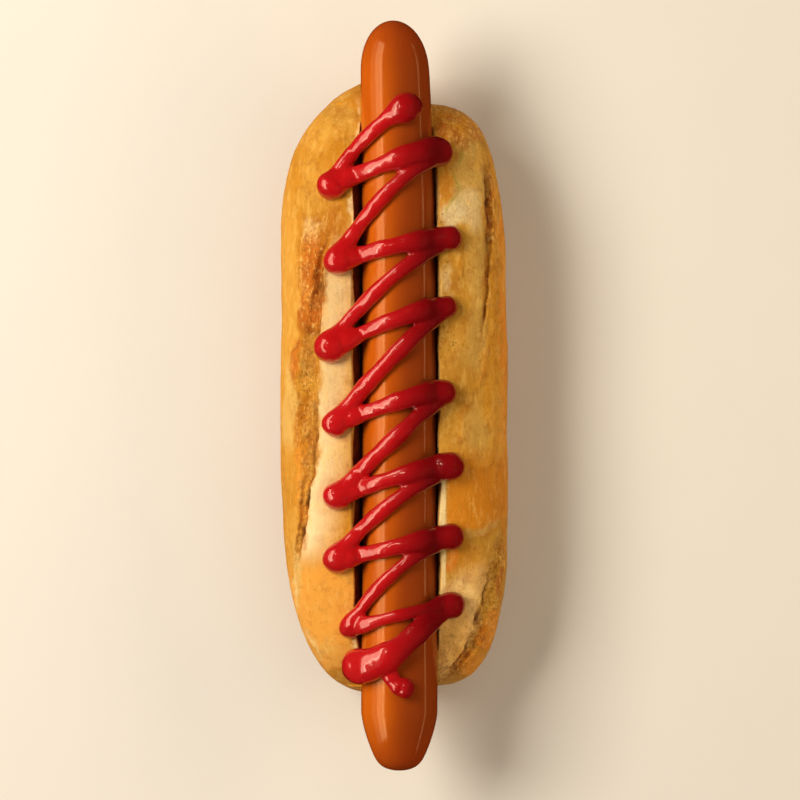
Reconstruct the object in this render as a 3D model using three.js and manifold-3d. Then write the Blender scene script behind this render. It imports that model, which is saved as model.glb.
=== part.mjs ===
// Hot dog: one long frankfurter lying in a crusty roll that is split along its top, with a single
// zigzag line of ketchup squeezed over both.
// Millimetres. +Z is up and +Y runs along the sausage. The origin is the middle of the bounding
// box's base, which is the plane that the roll's flat bottom rests on.
import * as THREE from "three";
import { LoftGeometry } from "three/addons/geometries/LoftGeometry.js";
import { mergeVertices } from "three/addons/utils/BufferGeometryUtils.js";
import Module from "manifold-3d";

const wasm = await Module();
wasm.setup();

const clearance = 0.3; // between two solids that touch

// ---------------------------------------------------------------- sizes

const sausage = {
  length: 240,
  radius: 12.0, // at the middle
  swell: 0.25, // the foot is this much thicker than the middle
  headShrink: 1.45, // and the head this much thinner
  axisX: 1.7,
  axisZ: 36,
  bend: 2.0, // how far the head leans to the left of the straight line
  headCap: 17, // length of the rounded head
  footCap: 19, // length of the tapered foot
  footTip: 0.5, // the foot's blunt tip, as a share of the radius
  sections: 36,
  sides: 26,
};

const roll = {
  headY: 101.4,
  footY: -96.6,
  headX: -5, // where the outline's two sides meet at the head
  footX: -2,
  left: 38.3, // half-widths, from the sausage's axis
  right: 34.9,
  wideZ: 21, // height of the widest line
  topZ: 44,
  noseZ: 17, // height of the two end points
  upperPower: 2.7, // how square the section is above and below the widest line
  lowerPower: 2.45,
  flatCut: 2.4, // depth that the bottom is pressed flat by
  sections: 68,
};

// How the outline closes at each end: where it ends, the length of its taper and the two powers of
// its curve. The right half of each end is blunter and stops short of the left.
const outlineEnds = {
  headLeft: { end: 103, taper: 69.4, rise: 4.1, fall: 1.28 },
  headRight: { end: 94, taper: 95, rise: 3.3, fall: 6.0 },
  footLeft: { end: 96.7, taper: 95, rise: 3.2, fall: 2.75 },
  footRight: { end: 93.7, taper: 42.5, rise: 1.6, fall: 5.8 },
  top: { end: 101.6, taper: 62, rise: 2.7, fall: 2.1 },
  bottom: { end: 101.6, taper: 40, rise: 2.3, fall: 1.9 },
  footShift: 4.8, // the top and bottom close this much sooner at the foot
  // Under the sausage the shorter right half runs out to the end of the left.
  hidden: { end: 101.6, taper: 14, rise: 1.3, fall: 1.6 },
  hiddenShare: 0.42,
};

// The cut that holds the sausage: half-widths at the crust, from the sausage's axis.
const slot = {
  left: 14.6,
  right: 12.9,
  closedFrom: 66, // the cut starts to close on the sausage this far from the middle
  closedBy: 88,
  waver: 0.35, // how far the cut edges wander
  sections: 44,
  roundSteps: 12,
};

// Torn edges of the crust, as seen from above: [x, y, width of the hollow beside it] from head to
// foot. The dough beside the sausage has risen into a slab, with a groove along the tear, and a
// hollow and a lip outside it.
const tears = {
  left: {
    line: [
      [-19.6, 50, 2.0], [-21.8, 44, 2.4], [-22.6, 34, 3.2], [-23.2, 24, 5.4], [-24.3, 10, 7.6],
      [-24.3, -6, 7.0], [-25.2, -24, 4.2], [-27.6, -38, 2.8], [-31, -56, 2.0],
    ],
    side: -1,
    slab: 1.2,
    groove: 0.7,
    hollow: 1.6,
    lip: 0.6,
  },
  rightHead: {
    line: [
      [28.6, 76, 1.4], [29.2, 68, 2.2], [29.3, 58, 3.2], [29.3, 50, 2.6], [29.4, 42, 1.6], [29.0, 32, 1.4],
      [27.6, 22, 1.2],
    ],
    side: 1,
    slab: 0.7,
    groove: 1.2,
    hollow: 1.3,
    lip: 0.3,
  },
  rightFoot: {
    line: [
      [35, -41, 2.0], [31.2, -52, 3.4], [29.4, -58, 4.6], [27.6, -66, 4.8], [25.4, -75, 4.6],
      [22.2, -81, 4.2], [18.8, -86.4, 3.4], [13.6, -92, 2.6],
    ],
    side: 1,
    slab: 0.8,
    groove: 1.5,
    hollow: 1.5,
    lip: 0.4,
  },
};

// The squeezed line: [x, y, half-width] at its start and at each turn, the last of which ends it.
// A turn also says how far the stroke that leads there bows towards the head (in mm), and that
// stroke's thinnest half-width.
const ketchupTurns = [
  [4.4, 91.6, 4.7],
  [-19.8, 67.1, 4.9, 1.3, 2.5],
  [13.9, 77.5, 4.8, 0, 2.7],
  [-17.8, 42.8, 5.0, 0.9, 2.5],
  [17.7, 49.9, 4.1, 0.3, 2.7],
  [-20.3, 15.3, 5.2, 0.9, 2.4],
  [16.7, 28.1, 3.9, 0.1, 2.5],
  [-18.8, -9.2, 4.0, -1.4, 2.7],
  [16.1, 1.1, 4.2, 0.2, 2.5],
  [-18.2, -32.1, 4.7, -2.5, 2.7],
  [18.0, -22.5, 4.4, 0.1, 2.5],
  [-18.1, -52.2, 4.9, 0.9, 2.5],
  [18.2, -44.9, 4.3, -0.6, 2.5],
  [-13.8, -74.0, 3.8, 2.4, 2.2],
  [18.7, -66.4, 4.2, 0.2, 2.0],
  [-11.0, -85.8, 5.2, 1.1, 3.5],
];
// And the short drip beside its last turn.
const ketchupDrip = [[-2.2, -86, 3.2], [3.4, -92.8, 3.2, -0.9, 2.7]];

const ketchup = {
  lastStroke: 14,
  // The bead's section, in half-widths: [out, up] over its top, then how far out along its foot.
  dome: [[1, 0.46], [0.84, 0.92], [0.47, 1.2], [0, 1.29], [-0.47, 1.2], [-0.84, 0.92], [-1, 0.46]],
  foot: [-0.78, 0, 0.78],
  // How a stroke bends: its two control points, as shares of its run along [x, y] from its start.
  returning: [[0.37, 0.25], [0.8, 0.66]], // towards the left
  crossing: [[0.33, 0.38], [0.68, 0.93]], // towards the right
  last: [[0.16, 0.44], [0.61, 0.97]], // the last long stroke
  buried: 0.8, // a stroke starts this much narrower, inside the turn that the last one ended in
  lift: 0.5, // and its foot starts this much higher
  foothold: 0.2, // how far the foot stays above the clearance
  steps: 8,
};

// ---------------------------------------------------------------- helpers

const { abs, atan2, cos, hypot, max, min, PI, sign, sin, sqrt } = Math;
const { clamp, lerp, smoothstep } = THREE.MathUtils;

// 1 along the straight part, closing to 0 over the last stretch before the end.
function closing(distance, { end, taper, rise, fall }) {
  const into = clamp((distance - (end - taper)) / taper, 0, 1);
  return (1 - into ** rise) ** (1 / fall);
}

// Where a tear is at a point's y, how wide its hollow is there, how far outside it the point lies
// and how much of the tear is left there, which fades at both ends.
function acrossTear(tear, x, y) {
  const { line, side } = tear;
  const first = line[0][1];
  const last = line[line.length - 1][1];
  const at = clamp(y, last, first);
  const k = max(1, line.findIndex(([, stop]) => stop <= at));
  const [x0, y0, width0] = line[k - 1];
  const [x1, y1, width1] = line[k];
  const share = (y0 - at) / (y0 - y1);
  const lineX = lerp(x0, x1, share);
  const lean = cos(atan2(abs(x1 - x0), y0 - y1)); // a slanting tear is narrower across than along x
  const fade = smoothstep(y, last - 5, last + 7) * (1 - smoothstep(y, first - 9, first + 4));
  return { lineX, width: lerp(width0, width1, share), outside: (x - lineX) * side * lean, fade };
}

// Height that the tears add to the crust.
function tearRelief(x, y) {
  let height = 0;
  for (const tear of Object.values(tears)) {
    const { outside: d, width: w, fade } = acrossTear(tear, x, y);
    if (fade === 0 || sign(x) !== tear.side) continue;
    const slab = d < 0 ? tear.slab * smoothstep(d, -8, -0.6) : 0;
    const groove = -tear.groove * max(0, 1 - abs(d) / 0.9);
    const hollow = d > 0 ? -tear.hollow * (1 - smoothstep(d, 0.45 * w, w)) : 0;
    const lip = tear.lip * Math.exp(-(((d - 1.25 * w) / (0.4 * w)) ** 2));
    height += fade * (slab + groove + hollow + lip);
  }
  return height;
}

// Slow unevenness of hand-shaped dough.
function doughWave(x, y) {
  return 0.45 * sin(0.083 * y + 0.9) * cos(0.11 * x + 0.4) + 0.3 * sin(0.19 * y - 0.16 * x + 2.1);
}

// ---------------------------------------------------------------- sausage shape

// The axis and radius of the sausage at y.
function sausageAt(y) {
  const half = sausage.length / 2;
  const along = y / half; // -1 at the foot, 1 at the head
  const full = sausage.radius + sausage.swell * max(0, -along)
    - sausage.headShrink * max(0, along) ** 2.2;
  const headInto = clamp((y - (half - sausage.headCap)) / sausage.headCap, 0, 1);
  const footInto = clamp((-y - (half - sausage.footCap)) / sausage.footCap, 0, 1);
  const head = sqrt(max(0, 1 - headInto ** 2.3));
  const blunt = sqrt(1 - footInto ** 14);
  const foot = lerp(1, sausage.footTip, footInto ** 1.5) * blunt;
  return {
    x: sausage.axisX - sausage.bend * max(0, along) ** 2.5,
    z: sausage.axisZ,
    radius: full * head * foot,
    full,
  };
}

// Even spacing along the straight part, with more sections where an end closes.
function stationsAlong(from, to, count) {
  return Array.from({ length: count }, (_, i) => {
    const t = i / (count - 1);
    const eased = 0.5 - 0.5 * cos(PI * t);
    return lerp(from, to, lerp(t, eased, 0.82));
  });
}

function sausageGeometry(grow = 0) {
  const half = sausage.length / 2;
  const sections = stationsAlong(-half + 0.02, half - 0.02, sausage.sections).map((y) => {
    const { x, z, radius } = sausageAt(y);
    return Array.from({ length: sausage.sides }, (_, i) => {
      const angle = (-2 * PI * i) / sausage.sides;
      return new THREE.Vector3(
        x + (radius + grow) * cos(angle), y, z + (radius + grow) * sin(angle));
    });
  });
  return new LoftGeometry(sections, { capStart: true, capEnd: true });
}

// ---------------------------------------------------------------- roll shape

// The roll's section at y: middle line, half-widths and heights.
function rollAt(y) {
  const head = y > 0;
  const noseX = head ? roll.headX : roll.footX;
  const inward = head ? abs(y) : abs(y) + outlineEnds.footShift;
  const topShare = closing(inward, outlineEnds.top);
  const bottomShare = closing(inward, outlineEnds.bottom);
  const leftShare = closing(abs(y), head ? outlineEnds.headLeft : outlineEnds.footLeft);
  const rightShare = max(
    closing(abs(y), head ? outlineEnds.headRight : outlineEnds.footRight),
    outlineEnds.hiddenShare * closing(inward, outlineEnds.hidden));
  const leftEdge = lerp(noseX, sausage.axisX - roll.left, leftShare);
  const rightEdge = lerp(noseX, sausage.axisX + roll.right, rightShare);
  const middle = lerp(leftEdge, rightEdge, roll.left / (roll.left + roll.right));
  const wideZ = lerp(roll.noseZ, roll.wideZ, topShare);
  return {
    middle,
    left: middle - leftEdge,
    right: rightEdge - middle,
    wideZ,
    rise: (roll.topZ - roll.wideZ) * topShare,
    drop: wideZ * bottomShare,
    topShare,
  };
}

// Height of the crust's upper side, before the cut is made.
function rollTop(x, y) {
  const { middle, left, right, wideZ, rise, topShare } = rollAt(y);
  const share = clamp(abs(x - middle) / (x < middle ? left : right), 0, 1);
  const power = roll.upperPower;
  const round = (1 - share ** power) ** (1 / power);
  const upright = smoothstep(round, 0.15, 0.7) * smoothstep(topShare, 0.1, 0.6);
  return wideZ + rise * round + upright * (tearRelief(x, y) + doughWave(x, y));
}

// Shares of the half-width where one side's upper points stand, from the middle outwards. They
// follow the tear on that side, so that its groove and lip are sharp with few faces.
function upperShares(section, side, y) {
  const size = max(side < 0 ? section.left : section.right, 18);
  const near = side < 0 ? [tears.left, tears.left] : [tears.rightFoot, tears.rightHead];
  const [foot, head] = near.map((tear) => acrossTear(tear, 0, y));
  const blend = smoothstep(y, -32, 12);
  const lineX = lerp(foot.lineX, head.lineX, blend);
  const line = clamp(abs(lineX - section.middle) / size, 0.52, 0.84);
  const step = 0.9 / size;
  const ridge = min(0.93, line + (1.2 * lerp(foot.width, head.width, blend)) / size);
  return [
    0.18, 0.34, 0.42, lerp(0.42, line, 0.5), line - step, line, line + step,
    lerp(line + step, ridge, 0.5), ridge, lerp(ridge, 1, 0.4), lerp(ridge, 1, 0.75), 0.99,
  ];
}

function rollSection(y) {
  const s = rollAt(y);
  const upper = (side) => upperShares(s, side, y).map((share) => {
    const x = s.middle + side * share * (side < 0 ? s.left : s.right);
    return new THREE.Vector3(x, y, rollTop(x, y));
  });
  const lower = (side) => [0, 14, 30, 46, 62, 78].map((degrees) => {
    const angle = THREE.MathUtils.degToRad(degrees);
    const out = cos(angle) ** (2 / roll.lowerPower);
    const down = sin(angle) ** (2 / roll.lowerPower);
    const x = s.middle + side * out * (side < 0 ? s.left : s.right);
    return new THREE.Vector3(x, y, max(0, s.wideZ - (s.drop + roll.flatCut) * down));
  });
  return [
    new THREE.Vector3(s.middle, y, rollTop(s.middle, y)),
    ...upper(1), ...lower(1),
    new THREE.Vector3(s.middle, y, max(0, s.wideZ - s.drop - roll.flatCut)),
    ...lower(-1).reverse(), ...upper(-1).reverse(),
  ];
}

function rollGeometry() {
  const sections = stationsAlong(roll.footY + 0.05, roll.headY - 0.05, roll.sections).map(rollSection);
  return new LoftGeometry(sections, { capStart: true, capEnd: true });
}

// Half-width of the cut at the crust on one side.
function slotHalf(side, y) {
  const { radius } = sausageAt(clamp(y, -95, 95));
  const open = (side < 0 ? slot.left : slot.right) + slot.waver * sin(0.21 * y + side);
  return lerp(open, radius + clearance + 0.1, smoothstep(abs(y), slot.closedFrom, slot.closedBy));
}

// The space cut out of the roll: round under the sausage, with walls that lean out above it.
function slotGeometry() {
  const reach = 14; // past both ends of the roll
  const above = 16; // past the top of the crust
  const start = roll.footY - reach;
  const run = roll.headY - roll.footY + 2 * reach;
  const sections = Array.from({ length: slot.sections }, (_, i) => {
    const y = start + (run * i) / (slot.sections - 1);
    const { x, z, full } = sausageAt(y);
    const radius = full + clearance;
    const wallTop = roll.topZ + above;
    const lean = (side) => {
      const half = max(slotHalf(side, y), radius + 0.05);
      return radius + ((half - radius) * (wallTop - z)) / (roll.topZ - z);
    };
    const under = Array.from({ length: slot.roundSteps + 1 }, (__, k) => {
      const angle = (-PI * k) / slot.roundSteps;
      return new THREE.Vector3(x + radius * cos(angle), y, z + radius * sin(angle));
    });
    return [
      new THREE.Vector3(x - lean(-1), y, wallTop),
      new THREE.Vector3(x + lean(1), y, wallTop),
      ...under,
    ];
  });
  return new LoftGeometry(sections, { capStart: true, capEnd: true });
}

// ---------------------------------------------------------------- ketchup shape

// Height of what the ketchup is squeezed onto.
function groundAt(x, y) {
  const { x: axis, z, radius } = sausageAt(y);
  const off = abs(x - axis);
  const onSausage = off < 0.98 * radius ? z + sqrt(radius ** 2 - off ** 2) : 0;
  const inSlot = off < slotHalf(sign(x - axis), y);
  return max(onSausage, inSlot ? 0 : rollTop(x, y));
}

// Ketchup bridges the gap beside the sausage: the ground with its hollows closed by a parabola.
function drapedAt(x, y) {
  let height = 0;
  for (let off = -5; off <= 5; off += 0.5) {
    height = max(height, groundAt(x + off, y) - off ** 2 / 9);
  }
  return height;
}

// One stroke between two turns, with round ends: a bead with a flat foot that follows the ground.
function strokeGeometry([x0, y0, w0], [x1, y1, w1, bow, thinnest], index) {
  const returning = x1 < x0;
  const isLast = index === ketchup.lastStroke;
  const bend = isLast ? ketchup.last : returning ? ketchup.returning : ketchup.crossing;
  const at = ([shareX, shareY]) => new THREE.Vector2(lerp(x0, x1, shareX), lerp(y0, y1, shareY));
  const headwards = new THREE.Vector2(y0 - y1, x1 - x0).normalize().multiplyScalar(sign(x1 - x0) * bow);
  const [from, to] = bend.map((shares) => at(shares).add(headwards));
  const curve = new THREE.CubicBezierCurve(at([0, 0]), from, to, at([1, 1]));
  const halfWidth = (t) => {
    const fromStart = lerp(index > 0 ? w0 * ketchup.buried : w0, thinnest, smoothstep(t, 0, 0.3));
    return lerp(fromStart, w1, smoothstep(t, returning ? 0.82 : 0.35, 1));
  };
  const footing = (t) => clearance + ketchup.foothold + ketchup.lift * (1 - smoothstep(t, 0, 0.6));
  // A section across the line at t, moved along it by `shift` and shrunk to `scale`.
  const section = (t, shift, scale) => {
    const tangent = curve.getTangent(t);
    const centre = curve.getPoint(t).addScaledVector(tangent, shift);
    const across = new THREE.Vector2(-tangent.y, tangent.x);
    const w = halfWidth(t);
    const middleFoot = drapedAt(centre.x, centre.y) + footing(t);
    const dome = ketchup.dome.map(([out, up]) => {
      const p = centre.clone().addScaledVector(across, out * w * scale);
      return new THREE.Vector3(p.x, p.y, middleFoot + up * w * lerp(0.45, 1, scale));
    });
    const foot = ketchup.foot.map((out) => {
      const p = centre.clone().addScaledVector(across, out * w * scale);
      return new THREE.Vector3(p.x, p.y, drapedAt(p.x, p.y) + footing(t));
    });
    return [...dome, ...foot];
  };
  const sections = index > 0 ? [section(0, -0.6 * w0, 0.6)]
    : [section(0, -0.97 * w0, 0.3), section(0, -0.7 * w0, 0.72)];
  for (let i = 0; i <= ketchup.steps; i += 1) sections.push(section(i / ketchup.steps, 0, 1));
  sections.push(section(1, 0.7 * w1, 0.72), section(1, 0.97 * w1, 0.3));
  return new LoftGeometry(sections, { capStart: true, capEnd: true });
}

// ---------------------------------------------------------------- solids

// A closed mesh as a solid. Booleans need shared vertices, so only positions are kept.
function solidOf(geometry) {
  const bare = new THREE.BufferGeometry().setIndex(geometry.index);
  bare.setAttribute("position", geometry.getAttribute("position"));
  const merged = mergeVertices(bare, 1e-4);
  const solid = new wasm.Manifold(new wasm.Mesh({
    numProp: 3,
    vertProperties: merged.getAttribute("position").array,
    triVerts: new Uint32Array(merged.index.array),
  }));
  if (solid.volume() > 0) return solid;
  return solid.mirror([1, 0, 0]).scale([-1, 1, 1]);
}

function geometryOf(solid) {
  const { vertProperties, triVerts } = solid.getMesh();
  const geometry = new THREE.BufferGeometry();
  geometry.setAttribute("position", new THREE.BufferAttribute(vertProperties, 3));
  geometry.setIndex(new THREE.BufferAttribute(triVerts, 1));
  geometry.computeVertexNormals();
  return geometry;
}

const largest = (solid) =>
  solid.decompose().reduce((best, piece) => (piece.volume() > best.volume() ? piece : best));

function makeRoll() {
  return largest(solidOf(rollGeometry()).subtract(solidOf(slotGeometry())));
}

function makeKetchup(rollSolid) {
  let solid = solidOf(strokeGeometry(...ketchupDrip, ketchupTurns.length));
  for (let i = 0; i < ketchupTurns.length - 1; i += 1) {
    solid = solid.add(solidOf(strokeGeometry(ketchupTurns[i], ketchupTurns[i + 1], i)));
  }
  solid = solid.subtract(solidOf(sausageGeometry(clearance)));
  for (const side of [-1, 1]) {
    solid = solid.subtract(rollSolid.translate([side * clearance, 0, clearance]));
  }
  return largest(solid);
}

// ---------------------------------------------------------------- assembly

const finishes = {
  roll: new THREE.MeshStandardMaterial({ color: "#e0a65c", roughness: 0.7, metalness: 0 }),
  sausage: new THREE.MeshStandardMaterial({ color: "#b85a1c", roughness: 0.28, metalness: 0 }),
  ketchup: new THREE.MeshStandardMaterial({ color: "#b8120e", roughness: 0.2, metalness: 0 }),
};

function named(name, geometry) {
  const mesh = new THREE.Mesh(geometry, finishes[name]);
  mesh.name = name;
  return mesh;
}

const rollSolid = makeRoll();
const hotDog = new THREE.Group();
hotDog.add(named("roll", geometryOf(rollSolid)));
hotDog.add(named("sausage", sausageGeometry()));
hotDog.add(named("ketchup", geometryOf(makeKetchup(rollSolid))));

export default hotDog;
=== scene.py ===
import math
import bpy
import numpy as np
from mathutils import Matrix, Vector


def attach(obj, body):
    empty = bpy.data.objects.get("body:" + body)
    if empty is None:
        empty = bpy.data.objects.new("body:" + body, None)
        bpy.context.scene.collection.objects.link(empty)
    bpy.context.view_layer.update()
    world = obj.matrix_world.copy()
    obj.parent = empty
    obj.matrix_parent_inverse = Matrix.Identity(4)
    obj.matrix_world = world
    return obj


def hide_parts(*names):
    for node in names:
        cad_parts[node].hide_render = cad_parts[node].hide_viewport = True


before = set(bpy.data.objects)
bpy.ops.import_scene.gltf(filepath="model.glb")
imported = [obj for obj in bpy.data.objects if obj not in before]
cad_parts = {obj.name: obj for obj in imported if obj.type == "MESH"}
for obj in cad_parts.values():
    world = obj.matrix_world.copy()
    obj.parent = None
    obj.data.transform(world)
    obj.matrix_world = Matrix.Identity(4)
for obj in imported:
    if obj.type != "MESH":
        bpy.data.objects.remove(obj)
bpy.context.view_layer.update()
mm = 0.001  # shapes are worked out in millimetres and made in metres
print("frame loaded")


# Small helpers for numbers.

def mix(a, b, share):
    return a + (b - a) * share


def smooth(value, low, high):
    t = np.clip((value - low) / (high - low), 0.0, 1.0)
    return t * t * (3.0 - 2.0 * t)


def within(value, band):  # rises over the band's first two values and falls over its last two
    return smooth(value, band[0], band[1]) * (1.0 - smooth(value, band[2], band[3]))


def bell(value, middle, width):  # 1 in the middle, fading to both sides
    return np.exp(-(((value - middle) / width) ** 2))


def softMin(a, b, blend):  # the smaller of the two, with a rounded change from one to the other
    return -blend * np.logaddexp(-a / blend, -b / blend)


def cornerValue(ix, iy, iz, seed):  # a value from 0 to 1 for each corner of a grid, well scattered
    h = ix.astype(np.uint32) * np.uint32(374761393)
    h = h + iy.astype(np.uint32) * np.uint32(668265263)
    h = h + iz.astype(np.uint32) * np.uint32(2246822519)
    h = h + np.uint32(seed * 2654435761 % 4294967296)
    h = (h ^ (h >> np.uint32(13))) * np.uint32(1274126177)
    h = h ^ (h >> np.uint32(16))
    return h.astype(np.float64) / 4294967295.0


def softNoise(points, size, seed):  # smooth noise from -1 to 1, with lumps about size across
    p = points / size
    cell = np.floor(p).astype(np.int64)
    f = p - cell
    f = f * f * f * (f * (f * 6.0 - 15.0) + 10.0)
    total = np.zeros(p.shape[:-1])
    for dx in (0, 1):
        wx = f[..., 0] if dx else 1.0 - f[..., 0]
        for dy in (0, 1):
            wy = f[..., 1] if dy else 1.0 - f[..., 1]
            for dz in (0, 1):
                wz = f[..., 2] if dz else 1.0 - f[..., 2]
                corner = cornerValue(cell[..., 0] + dx, cell[..., 1] + dy, cell[..., 2] + dz, seed)
                total += wx * wy * wz * corner
    return total * 2.0 - 1.0


def lumps(points, size, seed, octaves):  # the same, with finer lumps on the lumps
    total = 0.0
    strength = 0.0
    for k in range(octaves):
        weight = 0.55 ** k
        total = total + weight * softNoise(points, size * 0.47 ** k, seed + 17 * k)
        strength += weight
    return total / strength


def strayed(values, points, steps):  # moved by noises, each with its reach, size and seed
    for reach, size, seed in steps:
        values = values + reach * softNoise(points, size, seed)
    return values


def lineNoise(y, size, seed):  # the same noise along one line
    points = np.stack([np.zeros_like(y), y, np.full_like(y, 0.37)], axis=-1)
    return softNoise(points, size, seed)


def tint(text):  # a screen colour such as "e3a65c" as the shader's linear colour
    parts = [int(text[k:k + 2], 16) / 255.0 for k in (0, 2, 4)]
    linear = [p / 12.92 if p <= 0.04045 else ((p + 0.055) / 1.055) ** 2.4 for p in parts]
    return (*linear, 1.0)


# The sausage's and the roll's sizes, the same as the solids'.

sausageSizes = dict(
    length=239.96,
    radius=12.0,
    swell=0.25,
    headShrink=1.45,
    axisX=1.7,
    axisZ=36.0,
    bend=2.0,
    headCap=17.0,
    footCap=19.0,
    footTip=0.5,
    sections=420,
    sides=150,
)

rollSizes = dict(
    headY=101.4,
    footY=-96.6,
    headX=-5.0,
    footX=-2.0,
    left=38.3,
    right=34.9,
    wideZ=21.0,
    topZ=44.0,
    noseZ=17.0,
    upperPower=2.7,
    lowerPower=2.45,
    flatCut=2.4,
    sections=392,
    slotLeft=14.6,
    slotRight=12.9,
    slotClosedFrom=66.0,
    slotClosedBy=88.0,
    slotWaver=0.35,
)

outlineEnds = dict(
    headLeft=dict(end=103.0, taper=69.4, rise=4.1, fall=1.28),
    headRight=dict(end=94.0, taper=95.0, rise=3.3, fall=6.0),
    footLeft=dict(end=96.7, taper=95.0, rise=3.2, fall=2.75),
    footRight=dict(end=93.7, taper=42.5, rise=1.6, fall=5.8),
    top=dict(end=101.6, taper=62.0, rise=2.7, fall=2.1),
    bottom=dict(end=101.6, taper=40.0, rise=2.3, fall=1.9),
    hidden=dict(end=101.6, taper=14.0, rise=1.3, fall=1.6),
    footShift=4.8,
    hiddenShare=0.42,
)

# Torn edges of the crust, from head to foot: x, y, the width of the hollow beside the tear, and how
# open the crevice is.
tears = dict(
    left=dict(
        side=-1,
        line=[
            (-19.6, 50.0, 2.0, 0.00), (-21.8, 44.0, 2.4, 0.10), (-22.6, 34.0, 3.2, 0.45),
            (-23.2, 24.0, 5.4, 0.20), (-24.3, 10.0, 7.6, 0.10), (-24.3, -6.0, 7.0, 0.25),
            (-25.2, -24.0, 4.2, 0.60), (-27.6, -38.0, 2.8, 1.00), (-31.0, -56.0, 2.0, 0.40),
        ],
        slab=1.2,
        groove=0.9,
        hollow=1.5,
        lip=0.6,
        undercut=0.35,
        jag=0.40,
    ),
    rightHead=dict(
        side=1,
        line=[
            (28.6, 76.0, 1.4, 0.15), (29.2, 68.0, 2.2, 0.65), (29.3, 58.0, 3.2, 0.75),
            (29.3, 50.0, 2.6, 0.55), (29.4, 42.0, 1.6, 0.35), (29.0, 32.0, 1.4, 0.22),
            (27.6, 22.0, 1.2, 0.10),
        ],
        slab=0.7,
        groove=1.3,
        hollow=1.3,
        lip=0.3,
        undercut=0.3,
        jag=0.30,
    ),
    rightFoot=dict(
        side=1,
        line=[
            (35.0, -41.0, 2.0, 0.15), (31.2, -52.0, 3.4, 0.22), (29.4, -58.0, 4.6, 0.30),
            (27.6, -66.0, 4.8, 0.60), (25.4, -75.0, 4.6, 0.50), (22.2, -81.0, 4.2, 0.45),
            (18.8, -86.4, 3.4, 0.45), (13.6, -92.0, 2.6, 0.60),
        ],
        slab=0.8,
        groove=1.5,
        hollow=1.5,
        lip=0.4,
        undercut=0.4,
        jag=0.75,
    ),
)


def sausageAt(y):  # where its axis is and how thick it is at y
    s = sausageSizes
    half = s["length"] / 2.0
    along = y / half
    full = s["radius"] + s["swell"] * np.maximum(0.0, -along)
    full = full - s["headShrink"] * np.maximum(0.0, along) ** 2.2
    headInto = np.clip((y - (half - s["headCap"])) / s["headCap"], 0.0, 1.0)
    footInto = np.clip((-y - (half - s["footCap"])) / s["footCap"], 0.0, 1.0)
    head = np.sqrt(np.maximum(0.0, 1.0 - headInto ** 2.3))
    foot = mix(1.0, s["footTip"], footInto ** 1.5) * np.sqrt(np.maximum(0.0, 1.0 - footInto ** 14))
    axisX = s["axisX"] - s["bend"] * np.maximum(0.0, along) ** 2.5
    return axisX, full * head * foot, full


def closing(distance, curve):  # 1 along the roll, falling to 0 at the curve's end
    into = np.clip((distance - (curve["end"] - curve["taper"])) / curve["taper"], 0.0, 1.0)
    return (1.0 - into ** curve["rise"]) ** (1.0 / curve["fall"])


def rollAt(y):  # the roll's section at y: middle, half-widths and heights
    r = rollSizes
    e = outlineEnds
    isHead = y > 0.0
    away = np.abs(y)
    noseX = np.where(isHead, r["headX"], r["footX"])
    inward = np.where(isHead, away, away + e["footShift"])
    topShare = closing(inward, e["top"])
    bottomShare = closing(inward, e["bottom"])
    leftShare = np.where(isHead, closing(away, e["headLeft"]), closing(away, e["footLeft"]))
    rightShare = np.where(isHead, closing(away, e["headRight"]), closing(away, e["footRight"]))
    rightShare = np.maximum(rightShare, e["hiddenShare"] * closing(inward, e["hidden"]))
    axisX = sausageSizes["axisX"]
    leftEdge = mix(noseX, axisX - r["left"], leftShare)
    rightEdge = mix(noseX, axisX + r["right"], rightShare)
    middle = mix(leftEdge, rightEdge, r["left"] / (r["left"] + r["right"]))
    wideZ = mix(r["noseZ"], r["wideZ"], topShare)
    return dict(
        middle=middle,
        left=middle - leftEdge,
        right=rightEdge - middle,
        wideZ=wideZ,
        rise=(r["topZ"] - r["wideZ"]) * topShare,
        drop=wideZ * bottomShare,
        topShare=topShare,
    )


def tearLine(tear, y):  # a tear at y: its x, its hollow's width, how open it is, its slant and its strength
    ys, xs, widths, opened = [np.array([p[k] for p in tear["line"]])[::-1] for k in (1, 0, 2, 3)]
    slope = np.interp(y + 2.0, ys, xs) / 4.0 - np.interp(y - 2.0, ys, xs) / 4.0
    lineX = np.interp(y, ys, xs)
    lineX = lineX + tear["jag"] * (lineNoise(y, 4.3, 5) + 0.6 * lineNoise(y, 1.7, 6))
    fade = within(y, (ys[0] - 5.0, ys[0] + 7.0, ys[-1] - 9.0, ys[-1] + 4.0))
    gape = np.interp(y, ys, opened) * (0.75 + 0.6 * lineNoise(y, 3.1, 8))
    return lineX, np.interp(y, ys, widths), np.clip(gape, 0.0, 1.0), 1.0 / np.sqrt(1.0 + slope ** 2), fade


# Bands across a tear: below 0 is the slab beside it, and above 0 the hollow. Where a band's end
# follows the hollow's width, it is a share of it.
tearBands = dict(
    slab=(-8.0, -0.6, -0.25, 0.1),
    slabTint=(-14.0, -1.0),
    grooveMiddle=0.4,
    grooveWidth=(0.45, 0.4),  # closed, and what it gains when it gapes
    hollowFrom=(-0.1, 0.5),
    hollowTo=(0.45, 1.0),
    lipMiddle=1.25,
    lipWidth=0.4,
    tornFrom=(-1.0, -0.2),
    tornTo=(1.0, 1.5),
)


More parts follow.
